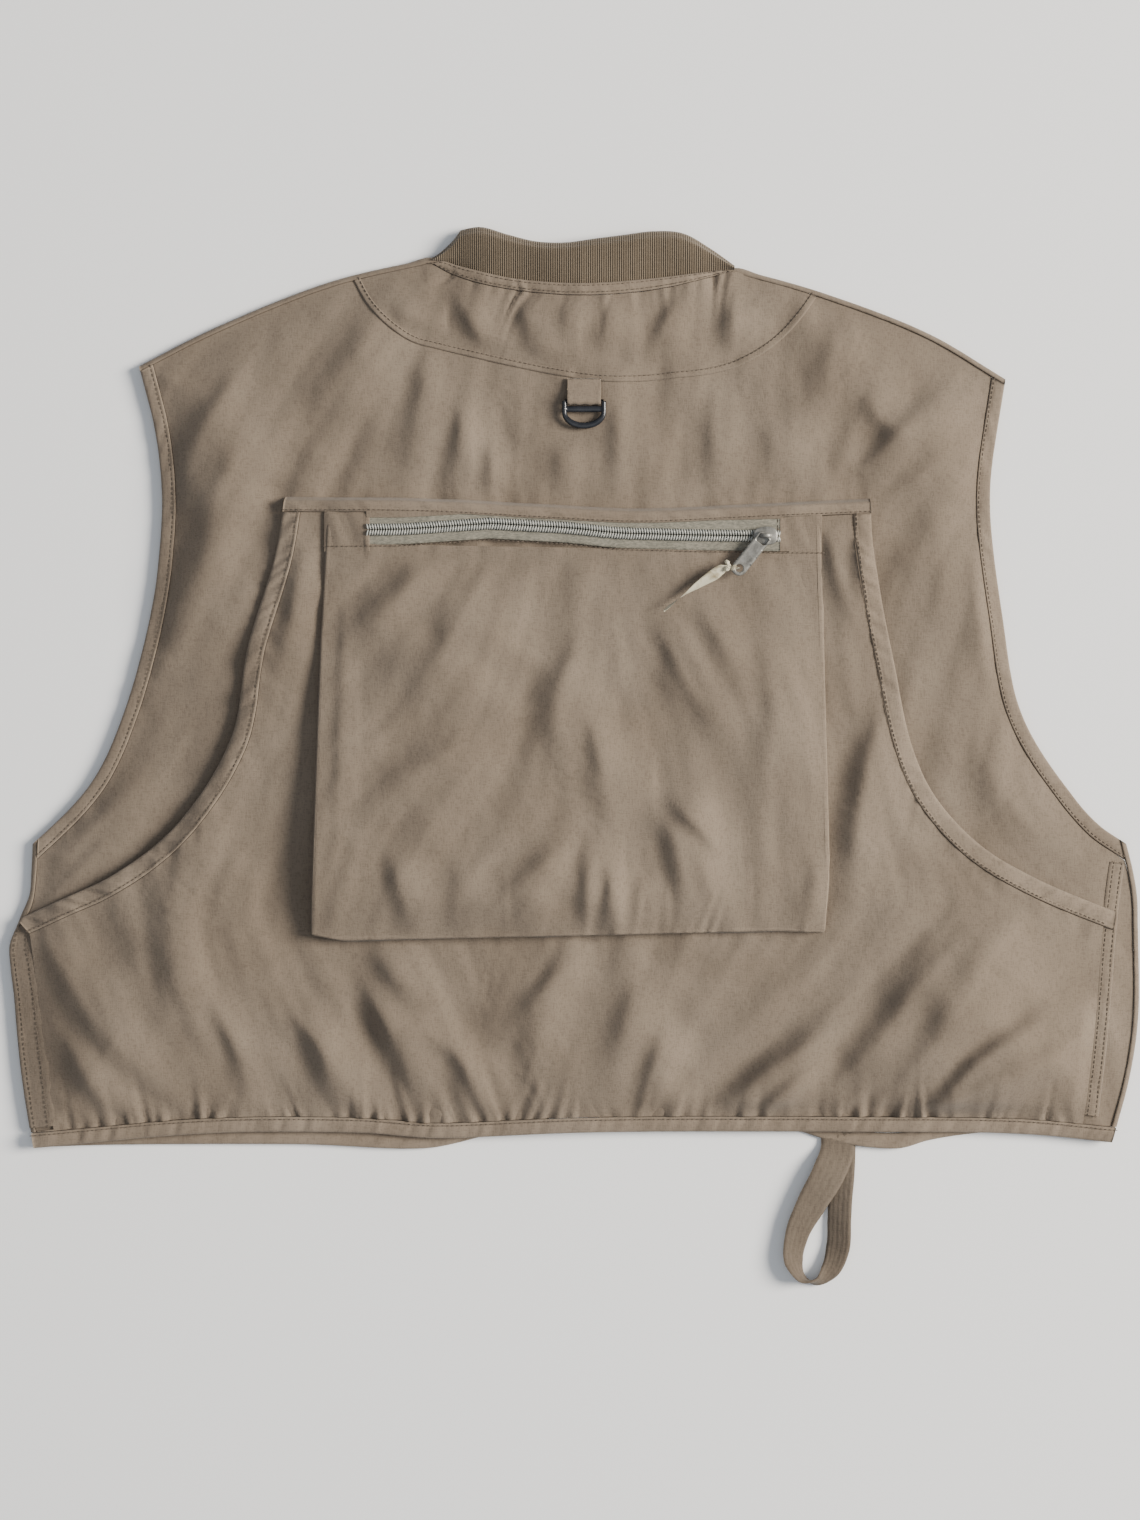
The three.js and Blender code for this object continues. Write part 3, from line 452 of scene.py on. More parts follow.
def chains(node, corner_degrees=35):
    """A CAD plate's outline split into the smooth lines between its corners."""
    loop = outline(node)
    keep = np.linalg.norm(loop - np.roll(loop, 1, axis=0), axis=1) > 0.6
    loop = loop[keep]
    forward = np.roll(loop, -1, axis=0) - loop
    backward = loop - np.roll(loop, 1, axis=0)
    cross = backward[:, 0] * forward[:, 1] - backward[:, 1] * forward[:, 0]
    turn = np.degrees(np.abs(np.arctan2(cross, (forward * backward).sum(axis=1))))
    corners = np.flatnonzero(turn > corner_degrees)
    if len(corners) == 0:
        corners = np.array([0])
    lines = []
    for k, first in enumerate(corners):
        last = corners[(k + 1) % len(corners)]
        if last <= first:
            last += len(loop)
        lines.append(loop[np.arange(first, last + 1) % len(loop)])
    return lines


def fine_outline(node, step, corner_degrees=35):
    """A CAD plate's outline with its chords rounded back into curves."""
    return np.concatenate([curve_through(line, step)[:-1] for line in chains(node, corner_degrees)])


def long_sides(node, centre=(0, 30)):
    """The two long sides of a CAD band: the one further from the vest's middle comes first."""
    sides = sorted(chains(node), key=lambda line: -lengths(line)[-1])[:2]
    sides = [curve_through(line, 3.0) for line in sides]
    if np.linalg.norm(sides[0][0] - sides[1][0]) > np.linalg.norm(sides[0][0] - sides[1][-1]):
        sides[1] = sides[1][::-1]
    sides.sort(key=lambda line: -np.linalg.norm(line - np.array(centre), axis=1).mean())
    if sides[0][0].sum() > sides[0][-1].sum():
        sides = [line[::-1] for line in sides]
    return sides


# ---- long soft wrinkles ----


class Relief:
    """Heights on a square grid, read anywhere between its points."""

    def __init__(self, make):
        axes = [GRID_LOW[k] + GRID_STEP * np.arange(GRID_CELLS[k]) for k in (0, 1)]
        self.values = make(*np.meshgrid(*axes, indexing="ij"))

    def __call__(self, x, y):
        u, v = (
            np.clip((value - low) / GRID_STEP, 0, cells - 1.001)
            for value, low, cells in zip((x, y), GRID_LOW, GRID_CELLS)
        )
        i, j = u.astype(int), v.astype(int)
        u, v = u - i, v - j
        h = self.values
        low = h[i, j] * (1 - u) + h[i + 1, j] * u
        high = h[i, j + 1] * (1 - u) + h[i + 1, j + 1] * u
        return low * (1 - v) + high * v


def wrinkles(flow, width, seed, steps):
    """Noise drawn out along the flow's slopes, so that it reads as long folds of one width."""
    place = np.array(flow, float)
    doubled = np.radians(2 * place[:, 2])

    def slope(x, y):
        share = [1 / ((x - px) ** 2 + (y - py) ** 2 + 300) ** 1.5 for px, py, _ in place]
        up = sum(w * math.sin(a) for w, a in zip(share, doubled))
        over = sum(w * math.cos(a) for w, a in zip(share, doubled))
        return np.arctan2(up, over) / 2

    angle = Relief(slope)
    noise = Relief(lambda x, y: cloud_noise(x, y, width, seed))

    def draw_out(x, y):
        total = np.zeros(x.shape)
        for way in (1, -1):
            px, py = x.copy(), y.copy()
            a = slope(x, y)
            dx, dy = way * np.cos(a), way * np.sin(a)
            for k in range(steps):
                total += math.cos(math.pi / 2 * k / steps) ** 2 * noise(px, py)
                a = angle(px, py)
                turn = np.where(np.cos(a) * dx + np.sin(a) * dy < 0, -1, 1)
                dx, dy = turn * np.cos(a), turn * np.sin(a)
                px, py = px + 0.45 * width * dx, py + 0.45 * width * dy
        return total / total.std() * (1 + 0.6 * cloud_noise(x, y, 70, seed + 5))

    return Relief(draw_out)


def layer_relief(folds, flow, seed, wide=0.62, fine=0.13):
    """All the wrinkles and folds of one layer of cloth."""
    long_ones = wrinkles(flow, 21, seed, 8)
    short_ones = wrinkles(flow, 8, seed + 7, 9)
    return Relief(lambda x, y: fold_height(folds, x, y) + wide * long_ones(x, y) + fine * short_ones(x, y))


BACK_RELIEF = layer_relief(BACK_FOLDS, BACK_FLOW, 11)
YOKE_RELIEF = layer_relief(YOKE_FOLDS, BACK_FLOW, 21, 0.4, 0.12)
CARGO_RELIEF = layer_relief(CARGO_FOLDS, CARGO_FLOW, 31)
POCKET_RELIEF = layer_relief(POCKET_FOLDS, POCKET_FLOW, 91, 0.5, 0.12)

# ---- seams that the cloth's shape follows ----


def in_mm(node):
    """The low and high corners of a CAD node's box, in millimetres."""
    return [np.array(corner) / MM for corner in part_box(node)]


def side_lines(form, count):
    """The inner long sides of the left and right bands with names of this form."""
    return [resample(long_sides(form.format(side))[1], count) for side in ("left", "right")]


RIM_NODES = [
    "armhole_band_back_left", "armhole_band_back_right", "shoulder_seam_left", "shoulder_seam_right",
    "side_seam_left", "side_seam_right", "hem_binding_back",
]
RIM_LINES = [resample(long_sides(node)[0], 26) for node in RIM_NODES]
HEM_LINE = long_sides("hem_binding_back")[1]
SHORT_HEM_LINE = resample(HEM_LINE, 40)
NECK_SIDES = long_sides("neck_binding")
NECK_LINE = NECK_SIDES[1]
CARGO_TOP_SIDES = long_sides("cargo_binding_top")
CARGO_TOP_LINE = CARGO_TOP_SIDES[1]
TOP_BINDING_EDGE = max(CARGO_TOP_SIDES, key=lambda line: line[:, 1].mean())
LEFT_SEAM_LINE = long_sides("side_seam_left")[0]
STRIP_LINES = side_lines("side_strip_{}", 12)
CARGO_SIDE_LINES = side_lines("cargo_binding_{}", 24)
ARMHOLE_LINES = side_lines("armhole_band_back_{}", 26)

YOKE_SEAM = max(chains("back_yoke"), key=lambda line: lengths(line)[-1] - line[:, 1].min())
YOKE_SEAM = curve_through(YOKE_SEAM, 2.0)
if YOKE_SEAM[0][0] > YOKE_SEAM[-1][0]:
    YOKE_SEAM = YOKE_SEAM[::-1]

POCKET_LOW, POCKET_HIGH = in_mm("cargo_pocket_face")
POCKET_FLOOR_Y = POCKET_LOW[1] + 2.5
POCKET_BOTTOM_LINE = np.array([
    (POCKET_LOW[0] + 10, POCKET_LOW[1]), (0, POCKET_LOW[1] + 2), (POCKET_HIGH[0] - 8, POCKET_LOW[1] + 5),
])
TAPE_Z = in_mm("pocket_tape_lower")[1][2]
ZIP_LEFT_X, ZIP_RIGHT_X = [corner[0] for corner in in_mm("pocket_coil_lower")]
ZIP_CENTRE = curve_through([
    (ZIP_LEFT_X, 128.3), (-92, 128.8), (-48, 131.8), (-8, 129.6), (30, 126.2), (70, 125.2),
    (ZIP_RIGHT_X, 124.6),
], 1.0)
ZIP_LOWER_EDGE = beside(ZIP_CENTRE, -TAPE_LOWER_WIDTH)

# ---- the shape of the lying cloth ----


def rim_rise(x, y):
    """Zero at the vest's edge and one in its middle."""
    return 1 - bell(off(RIM_LINES, x, y), EDGE_REACH)


def puckers(line, x, y, reach, pitch, height, seed, slant=0.0):
    """Short gathers that start at a seam and die away from it."""
    s, distance, _ = along(resample(line, 60), x, y)
    lean = slant + 0.45 * wave_noise(s / (pitch * 4.3), seed + 3)
    position = (s + lean * distance) / pitch
    gathers = wave_noise(position, seed) + 0.5 * wave_noise(position * 2.1, seed + 1)
    uneven = 0.75 + 0.6 * wave_noise(s / (pitch * 3.1), seed + 4)
    reach_here = reach * (0.8 + 0.55 * wave_noise(s / (pitch * 1.7), seed + 2))
    return height * uneven * gathers * np.exp(-distance / np.maximum(reach_here, 1.0))


def front_height(x, y):
    """The front layer, thin at the seams."""
    rise = rim_rise(x, y)
    return FRONT_RIM_Z + (FRONT_Z - FRONT_RIM_Z) * rise + 0.4 * cloud_noise(x, y, 40, 7) * rise


def back_base(x, y):
    """The back layer without its folds."""
    rise = rim_rise(x, y)
    hump = TOP_HUMP * bell(y - TOP_HUMP_Y, TOP_HUMP_WIDTH) * (1 - smoothstep(110, 235, np.abs(x)))
    swell = 1.3 * cloud_noise(x, y, 95, 3) * rise
    spread_x, spread_y = FRONT_ZIP_SPREAD
    over_zip = FRONT_ZIP_LIFT * bell(x, spread_x) * bell(y - FRONT_ZIP_FOOT_Y, spread_y)
    middle = MIDDLE_RISE * smoothstep(0, MIDDLE_REACH, off(RIM_LINES, x, y))
    return RIM_Z + EDGE_RISE * rise + middle + hump + swell + over_zip


def resting_on_front(height, x, y, gap):
    """The height, raised softly wherever a fold would sink through the front layer."""
    above = height - front_height(x, y) - gap
    return height + 0.5 * (np.sqrt(above**2 + 0.8) - above)


def back_height(x, y):
    height = back_base(x, y) + smoothstep(0, 16, off(RIM_LINES, x, y)) * BACK_RELIEF(x, y)
    for number, line in enumerate(ARMHOLE_LINES):
        height = height + puckers(line, x, y, 7, 9, 0.5, 51 + number, 0.5)
    height = height + puckers(CARGO_TOP_LINE, x, y, 20, 8, 0.7, 57)
    return resting_on_front(height, x, y, 0.7)


def rim_height(x, y):
    return back_height(x, y) + 0.4


def yoke_height(x, y):
    """The yoke follows the back cloth along its seam and has folds of its own above it."""
    own = back_base(x, y) + 0.9 + YOKE_RELIEF(x, y)
    seam = back_height(x, y) + 0.5
    height = seam + (own - seam) * smoothstep(0, 14, off([YOKE_SEAM], x, y))
    return height + puckers(NECK_LINE, x, y, 11, 3.3, 1.7, 61, 0.35)


def neck_height(x, y):
    """The neck binding rides a third as high as the gathers of the yoke beside it."""
    return back_base(x, y) + 1.2 + 0.35 * (yoke_height(x, y) - back_base(x, y) - 0.9)


def hem_height(x, y):
    return back_base(x, y) + 1.6 + 0.5 * cloud_noise(x, y, 30, 15)


def cargo_base(x, y):
    """The cargo panel without its folds: sewn down at the hem and sides, loose in the middle."""
    hem = smoothstep(0, 70, off([SHORT_HEM_LINE], x, y))
    strips = smoothstep(0, 60, off(STRIP_LINES, x, y))
    return back_base(x, y) + 1.2 + CARGO_LOFT * np.minimum(hem, strips)


def cargo_height(x, y):
    free = 0.25 + 0.75 * smoothstep(0, 10, off([SHORT_HEM_LINE], x, y))
    free = free * smoothstep(-3, 9, off(STRIP_LINES, x, y))
    top = smoothstep(0, 14, off([resample(CARGO_TOP_LINE, 20)], x, y))
    height = cargo_base(x, y) + top * free * CARGO_RELIEF(x, y)
    # It sinks under the pocket's zip, which leaves room for the slider.
    under_zip = bell(y - ZIP_SINK_Y, ZIP_SINK_WIDTH) * (1 - smoothstep(ZIP_REACH, ZIP_REACH + 16, np.abs(x)))
    height = height - ZIP_SINK * under_zip
    height = height + puckers(HEM_LINE, x, y, 10, 4.4, 2.7, 71)
    height = height + puckers(POCKET_BOTTOM_LINE, x, y, 7, 5.0, 0.8, 75) * (y < POCKET_FLOOR_Y)
    for number, line in enumerate(CARGO_SIDE_LINES):
        height = height + puckers(line, x, y, 9, 8, 0.6, 81 + number, 0.8)
        height = height + (1.8 - 0.9 * number) * np.exp(-off([line], x, y) / 9)
    return resting_on_front(height, x, y, 1.3)


def cargo_edge_height(x, y):
    return cargo_height(x, y) + 0.5


def cargo_top_height(x, y):
    """The top binding rises from the back cloth to lap over the zip's tape."""
    inward = smoothstep(0.0, 3.0, off([resample(TOP_BINDING_EDGE, 30)], x, y))
    beside_zip = smoothstep(ZIP_REACH, ZIP_REACH + 32, np.abs(x))
    inner = (TAPE_Z + 0.6) * (1 - beside_zip) + (cargo_height(x, y) + 0.6) * beside_zip
    outer = back_height(x, y) + 0.9
    return outer + (inner - outer) * inward


def strip_height(x, y):
    """The strips lie on the cargo panel below its bindings and on the back above them."""
    on_back = smoothstep(CARGO_WALL_TOP_Y - 6, CARGO_WALL_TOP_Y, y)
    return back_base(x, y) + 1.3 - 0.8 * on_back


def pocket_height(x, y):
    down = smoothstep(118, -70, y)
    across = smoothstep(POCKET_LOW[0], POCKET_HIGH[0], x)
    deepest = POCKET_DEEP_LEFT * (1 - across) + POCKET_DEEP_RIGHT * across
    depth = POCKET_TOP_DEPTH + down * (deepest - POCKET_TOP_DEPTH)
    depth = depth + POCKET_MIDDLE * down * np.sin(np.pi * across)
    foot = smoothstep(0, 26, y - POCKET_LOW[1])
    depth = POCKET_FOOT_DEPTH + (depth - POCKET_FOOT_DEPTH) * (0.35 + 0.65 * foot)
    edge = np.minimum.reduce([x - POCKET_LOW[0] - 3, POCKET_HIGH[0] - 3 - x, y - POCKET_LOW[1]])
    folds = POCKET_RELIEF(x, y) * (0.3 + 0.7 * smoothstep(-4, 10, edge)) * smoothstep(0, 12, 116 - y)
    height = cargo_base(x, y) + depth + folds
    height = height + puckers(ZIP_LOWER_EDGE, x, y, 9, 7, 0.8, 93) * (np.abs(x) < ZIP_REACH)
    return height + puckers(POCKET_BOTTOM_LINE, x, y, 16, 7, 1.3, 95) * smoothstep(-40, 0, x)


def collar_foot_height(x, y):
    return back_base(x, y) - 0.9


def front_collar_height(x, y):
    return 3.4 + 0 * x


# ---- materials ----


class Shader:
    """A Principled material and short ways to wire nodes into it."""

    def __init__(self, name, roughness, metallic=0.0, **sockets):
        self.material = bpy.data.materials.new(name)
        self.material.use_nodes = True
        self.tree = self.material.node_tree
        self.shader = self.tree.nodes["Principled BSDF"]
        self.shader.inputs["Roughness"].default_value = roughness
        self.shader.inputs["Metallic"].default_value = metallic
        for socket, value in sockets.items():
            self.shader.inputs[socket.replace("_", " ")].default_value = value
        self.place = self.tree.nodes.new("ShaderNodeTexCoord").outputs["Object"]

    def node(self, kind, inputs, **settings):
        node = self.tree.nodes.new(kind)
        for key, value in settings.items():
            setattr(node, key, value)
        for socket, value in inputs.items():
            if isinstance(value, bpy.types.NodeSocket):
                self.tree.links.new(value, node.inputs[socket])
            else:
                node.inputs[socket].default_value = value
        return node

    def stretched(self, scale):
        """The object's coordinates, in metres, stretched along each axis."""
        return self.node("ShaderNodeMapping", {"Vector": self.place, "Scale": scale}).outputs[0]

    def noise(self, scale, detail=3.0, rough=0.55, at=None):
        inputs = {"Vector": at or self.place, "Scale": scale, "Detail": detail, "Roughness": rough}
        return self.node("ShaderNodeTexNoise", inputs).outputs["Fac"]

    def threads(self, pitch, direction, distortion=1.5):
        """Parallel threads a pitch apart, in metres."""
        inputs = {"Vector": self.place, "Scale": 0.314 / pitch, "Distortion": distortion, "Detail": 1.0}
        return self.node("ShaderNodeTexWave", inputs, bands_direction=direction).outputs["Fac"]

    def math(self, operation, first, second):
        return self.node("ShaderNodeMath", {0: first, 1: second}, operation=operation).outputs[0]

    def between(self, factor, first, second, low=0.3, high=0.7):
        """A colour from first to second as the factor goes from low to high."""
        ramp = self.node("ShaderNodeValToRGB", {"Fac": factor})
        for element, position, colour in zip(ramp.color_ramp.elements, (low, high), (first, second)):
            element.position = position
            element.color = (*colour, 1)
        return ramp.outputs["Color"]

    def mix(self, factor, first, second, blend="MIX"):
        inputs = {0: factor, 6: first, 7: second}
        return self.node("ShaderNodeMix", inputs, data_type="RGBA", blend_type=blend).outputs[2]

    def colour(self, value):
        self.tree.links.new(value, self.shader.inputs["Base Color"])

    def roughness(self, value, first, second):
        """Roughness from first to second as the value goes from 0 to 1."""
        ranged = self.node("ShaderNodeMapRange", {"Value": value, "To Min": first, "To Max": second})
        self.tree.links.new(ranged.outputs[0], self.shader.inputs["Roughness"])

    def bumps(self, *layers):
        """Bumps, each with its height, its distance in metres and its strength, laid over one another."""
        normal = None
        for height, distance, strength in layers:
            inputs = {"Height": height, "Distance": distance, "Strength": strength}
            if normal is not None:
                inputs["Normal"] = normal
            normal = self.node("ShaderNodeBump", inputs).outputs[0]
        self.tree.links.new(normal, self.shader.inputs["Normal"])


def shaded(colour, share):
    """A colour made darker or lighter."""
    return tuple(share * c for c in colour)


def cloth_material(name, shade=1.0, faded_shade=1.0, wrinkle=1.0):
    """Worn poly-cotton: a fine plain weave with slubs, faded patches and small creases."""
    m = Shader(name, 0.88, Sheen_Weight=0.12, Sheen_Roughness=0.5, Specular_IOR_Level=0.25)
    patches = m.noise(16, 4, 0.6)
    base = m.between(patches, shaded(CLOTH, shade), shaded(CLOTH_FADED, faded_shade), 0.35, 0.68)
    slubs = m.noise(1.0, 2, 0.5, m.stretched((300, 1500, 900)))
    ends = m.noise(1.0, 2, 0.5, m.stretched((1500, 260, 900)))
    flecks = m.math("ADD", slubs, ends)
    fleck_colour = m.between(flecks, (0.90, 0.89, 0.88), (1.09, 1.09, 1.08), 0.80, 1.22)
    m.colour(m.mix(1.0, base, fleck_colour, "MULTIPLY"))
    weave = m.math("MAXIMUM", m.threads(WEAVE_PITCH, "X"), m.threads(WEAVE_PITCH, "Y"))
    creases = m.noise(190, 5, 0.62)
    folds = m.noise(62, 3, 0.5)
    m.bumps(
        (weave, 0.00012, 0.35), (flecks, 0.00018, 0.45), (creases, 0.0005 * wrinkle, 0.5),
        (folds, 0.0012 * wrinkle, 0.4),
    )
    return m.material


def knit_material():
    m = Shader("rib_knit", 0.95, Sheen_Weight=0.2, Sheen_Roughness=0.6, Specular_IOR_Level=0.15)
    fuzz = m.noise(900, 3, 0.6)
    base = m.between(fuzz, (0.105, 0.078, 0.050), (0.175, 0.135, 0.092))
    m.colour(m.mix(0.35, base, m.between(m.noise(30), (0.11, 0.083, 0.055), (0.165, 0.128, 0.088))))
    m.bumps((m.threads(0.0011, "Y", 2.5), 0.0002, 0.6), (fuzz, 0.0003, 0.6))
    return m.material


def tape_material():
    """Zip tape: a dense grey-green ribbon with a pale frayed nap."""
    m = Shader("zip_tape", 0.8, Sheen_Weight=0.2, Specular_IOR_Level=0.25)
    nap = m.noise(1.0, 4, 0.65, m.stretched((420, 1300, 900)))
    base = m.between(nap, (0.115, 0.11, 0.088), (0.30, 0.272, 0.212), 0.36, 0.64)
    m.colour(m.mix(0.4, base, m.between(m.noise(70, 3), (0.14, 0.135, 0.11), (0.27, 0.25, 0.20))))
    m.bumps((m.threads(0.0005, "X"), 0.0001, 0.5), (nap, 0.0004, 0.5))
    return m.material


def coil_material():
    m = Shader("coil_nylon", 0.34, Specular_IOR_Level=0.6, Coat_Weight=0.15)
    m.colour(m.between(m.noise(400, 3), (0.30, 0.305, 0.28), (0.50, 0.49, 0.44)))
    m.bumps((m.noise(1800, 2), 0.00005, 0.5))
    return m.material


def metal_material():
    """Dull die-cast zinc, rubbed bright in places and pitted in others."""
    m = Shader("zinc", 0.46, 0.55, Specular_IOR_Level=0.5)
    stain = m.noise(260, 4, 0.6)
    m.colour(m.between(stain, (0.13, 0.125, 0.112), (0.29, 0.28, 0.255), 0.32, 0.66))
    m.roughness(stain, 0.56, 0.36)
    m.bumps((m.noise(1500, 3), 0.00006, 0.6))
    return m.material


def plastic_material():
    m = Shader("black_plastic", 0.24, Specular_IOR_Level=0.55)
    m.colour(m.between(m.noise(150, 4), (0.006, 0.007, 0.010), (0.020, 0.021, 0.026)))
    m.roughness(m.noise(700, 4), 0.18, 0.36)
    m.bumps((m.noise(600, 2), 0.00008, 0.4))
    return m.material


def ribbon_material():
    """A plain cream satin ribbon, browned with wear in patches."""
    m = Shader("ribbon", 0.5, Sheen_Weight=0.2, Specular_IOR_Level=0.4)
    grime = m.noise(160, 4, 0.6)
    m.colour(m.between(grime, (0.26, 0.205, 0.115), (0.53, 0.485, 0.36), 0.30, 0.5))
    m.bumps((m.threads(0.0004, "DIAGONAL"), 0.00008, 0.5))
    return m.material


def thread_material():
    m = Shader("thread", 0.7, Sheen_Weight=0.15, Specular_IOR_Level=0.3)
    m.colour(m.between(m.noise(500, 2), (0.05, 0.036, 0.025), (0.15, 0.117, 0.086)))
    m.bumps((m.noise(3000, 1), 0.00005, 0.5))
    return m.material


# A dark material for the strips under the coils: painted shade, not a part of the zip.
def coil_bed_material():
    m = Shader("zip_coil_shade_strip", 0.85, Specular_IOR_Level=0.2)
    m.colour(m.between(m.noise(600, 3), (0.055, 0.06, 0.055), (0.13, 0.13, 0.115)))
    m.bumps((m.threads(0.0006, "X"), 0.0001, 0.6))
    return m.material


CLOTH_MATERIAL = cloth_material("cloth")
BINDING_MATERIAL = cloth_material("binding_cloth", 1.1, 1.14, wrinkle=0.8)
# The strap's cloth is a darker copy of the vest's cloth: painted shade for the shade that falls on the strap
# loop.
STRAP_PAINTED_SHADE_MATERIAL = cloth_material("strap_cloth", 0.67, 0.74, wrinkle=1.5)
INSIDE_MATERIAL = cloth_material("inside_cloth", 0.82, 0.84)
KNIT = knit_material()
TAPE = tape_material()
COIL = coil_material()
COIL_SHADE_STRIP = coil_bed_material()
METAL = metal_material()
PLASTIC = plastic_material()
RIBBON = ribbon_material()
THREAD = thread_material()

# ---- camera, floor and light ----


def add_object(name, data):
    thing = bpy.data.objects.new(name, data)
    bpy.context.scene.collection.objects.link(thing)
    return thing


def add_lamp(name, position, size, power, colour):
    """A round lamp, aimed at the frame's origin."""
    light = bpy.data.lights.new(name, "AREA")
    light.shape = "DISK"
    light.size = size
    light.energy = power
    light.color = colour
    lamp = add_object(name, light)
    lamp.location = Vector(position) * MM
    lamp.rotation_euler = (-Vector(position)).normalized().to_track_quat("-Z", "Y").to_euler()


camera = add_object("camera", bpy.data.cameras.new("camera"))
bpy.context.scene.camera = camera
camera.data.lens = CAMERA_LENS
# The sensor's width is the picture's long side, which is its height.
camera_distance = FRAME_HEIGHT / 2 * CAMERA_LENS / (camera.data.sensor_width / 2)
camera.location = (Vector(CAMERA_AIM) + Vector((0, 0, camera_distance))) * MM
camera.data.clip_end = CAMERA_REACH

add_lamp("key", KEY_PLACE, KEY_SIZE, KEY_POWER, KEY_COLOUR)
add_lamp("fill", FILL_PLACE, FILL_SIZE, FILL_POWER, FILL_COLOUR)

world = bpy.data.worlds.new("studio")
world.use_nodes = True
background = world.node_tree.nodes["Background"]
background.inputs["Color"].default_value = SKY_COLOUR
background.inputs["Strength"].default_value = SKY_STRENGTH
bpy.context.scene.world = world

floor_mesh = bpy.data.meshes.new("floor")
floor_corners = [(-1, -1), (1, -1), (1, 1), (-1, 1)]
floor_mesh.from_pydata([(x * FLOOR_HALF, y * FLOOR_HALF, 0) for x, y in floor_corners], [], [(0, 1, 2, 3)])
floor_mesh.materials.append(Shader("floor", 0.9, Base_Color=FLOOR_COLOUR).material)
add_object("floor", floor_mesh)

# ---- making pieces ----


def edge_row(line, reach, z):
    """One row of a mesh: a line moved to its left by a reach, at a height."""
    reach = np.broadcast_to(reach, len(line))[:, None]
    return np.column_stack([beside(line, reach), np.broadcast_to(z, len(line))])


def ribbon_frame(path, tilt):
    """Along a tilted ribbon: across it, upward (less where it tilts), and out of its face."""
    level = unit(np.cross(headings(path), (0, 0, 1.0)))
    upward = np.cross(level, headings(path))
    c, s = np.cos(tilt)[:, None], np.sin(tilt)[:, None]
    return level * c + upward * s, upward * c, upward * c - level * s


def piece(name, mesh, material, node=None, body="vest"):
    """A smooth mesh from points in millimetres, which rides on a body and may stand for a CAD node."""
    points, faces = mesh
    data = bpy.data.meshes.new(name)
    data.from_pydata((np.asarray(points, float) * MM).tolist(), [], faces)
    data.materials.append(material)
    data.polygons.foreach_set("use_smooth", [True] * len(data.polygons))
    data.update()
    obj = add_object(name, data)
    if body:
        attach(obj, body)
    if node:
        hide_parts(node)
    return obj


def grid_mesh(rows, closed=True):
    """Points and faces between neighbouring rows of points. Closed rows are the sections of a solid."""
    rows = np.asarray(rows)
    count, width = rows.shape[:2]
    faces = []
    for i in range(count - 1):
        for j in range(width if closed else width - 1):
            k = (j + 1) % width
            faces.append((i * width + j, i * width + k, (i + 1) * width + k, (i + 1) * width + j))
    if closed:
        faces.append(tuple(range(width)))
        faces.append(tuple((count - 1) * width + j for j in reversed(range(width))))
    return rows.reshape(-1, 3), faces


def tube(path, first, second, sides):
    """A solid round a path. Its section's two half axes are given for each point."""
    turn = round_turn(sides)[:, None]
    return grid_mesh(path[:, None] + first[:, None] * np.cos(turn) + second[:, None] * np.sin(turn))


def merge(*meshes):
    """Several meshes as one."""
    points, faces = [], []
    for more, more_faces in meshes:
        start = len(points)
        points += [tuple(p) for p in more]
        faces += [tuple(v + start for v in face) for face in more_faces]
    return np.array(points), faces


def placed(mesh, origin, angle, flip=False):
    """A mesh turned about Z and moved, after half a turn about X where it is flipped."""
    points, faces = mesh
    x, y, z = (points * ((1, -1, -1) if flip else (1, 1, 1))).T
    c, s = math.cos(angle), math.sin(angle)
    return np.column_stack([x * c - y * s, x * s + y * c, z]) + origin, faces


def inside(loop, x, y):
    """Which points are inside a closed loop."""
    result = np.zeros(x.shape, bool)
    for (ax, ay), (bx, by) in zip(loop, np.roll(loop, -1, axis=0)):
        if ay != by:
            crosses = (ay > y) != (by > y)
            result ^= crosses & (x < (bx - ax) * (y - ay) / (by - ay) + ax)
    return result


def flat_mesh(loop, step, hidden=None):
    """Points and triangles that fill a loop, coarser where the cloth is hidden."""
    low, high = loop.min(axis=0), loop.max(axis=0)
    columns, rows = (int(side / step) + 2 for side in high - low)
    taken = np.zeros((columns, rows), bool)
    dense = np.concatenate([loop, (loop + np.roll(loop, -1, axis=0)) / 2])
    cells = np.round((dense - low) / step).astype(int)
    taken[cells[:, 0].clip(0, columns - 1), cells[:, 1].clip(0, rows - 1)] = True
    i, j = (grid.ravel() for grid in np.meshgrid(np.arange(columns), np.arange(rows), indexing="ij"))
    x, y = low[0] + (i + 0.25 * (j % 2)) * step, low[1] + j * step
    keep = ~taken[i, j] & inside(loop, x, y)
    if hidden is not None:
        every = int(HIDDEN_STEP / step)
        keep &= ~inside(hidden, x, y) | ((i % every == 0) & (j % every == 0))
    points = [Vector(p) for p in np.concatenate([loop, np.stack([x[keep], y[keep]], axis=1)])]
    border = [list(range(len(loop)))]
    flat, _, faces, *_ = geometry.delaunay_2d_cdt(points, [], border, 1, 1e-4)
    return np.array([tuple(p) for p in flat]), [list(face) for face in faces]


def sheet_piece(name, node, loop, height, step, material=CLOTH_MATERIAL, body="vest", hidden=None):
    """One layer of cloth that fills a loop and lies at the given height."""
    flat, faces = flat_mesh(loop, step, hidden)
    obj = piece(name, (np.column_stack([flat, height(*flat.T)]), faces), material, node, body)


# A folded binding's section, from its sewn inner edge over the top to its rounded outer edge.
BINDING_SECTION = [
    (0.0, -0.2), (0.03, 0.25), (0.12, 0.55), (0.2, 0.35), (0.28, 0.62), (0.42, 0.8), (0.58, 0.85),
    (0.72, 0.8), (0.84, 0.7), (0.93, 0.45), (0.99, 0.0), (1.0, -0.5), (0.94, -0.95), (0.6, -1.0),
    (0.2, -1.0), (0.0, -0.8),
]
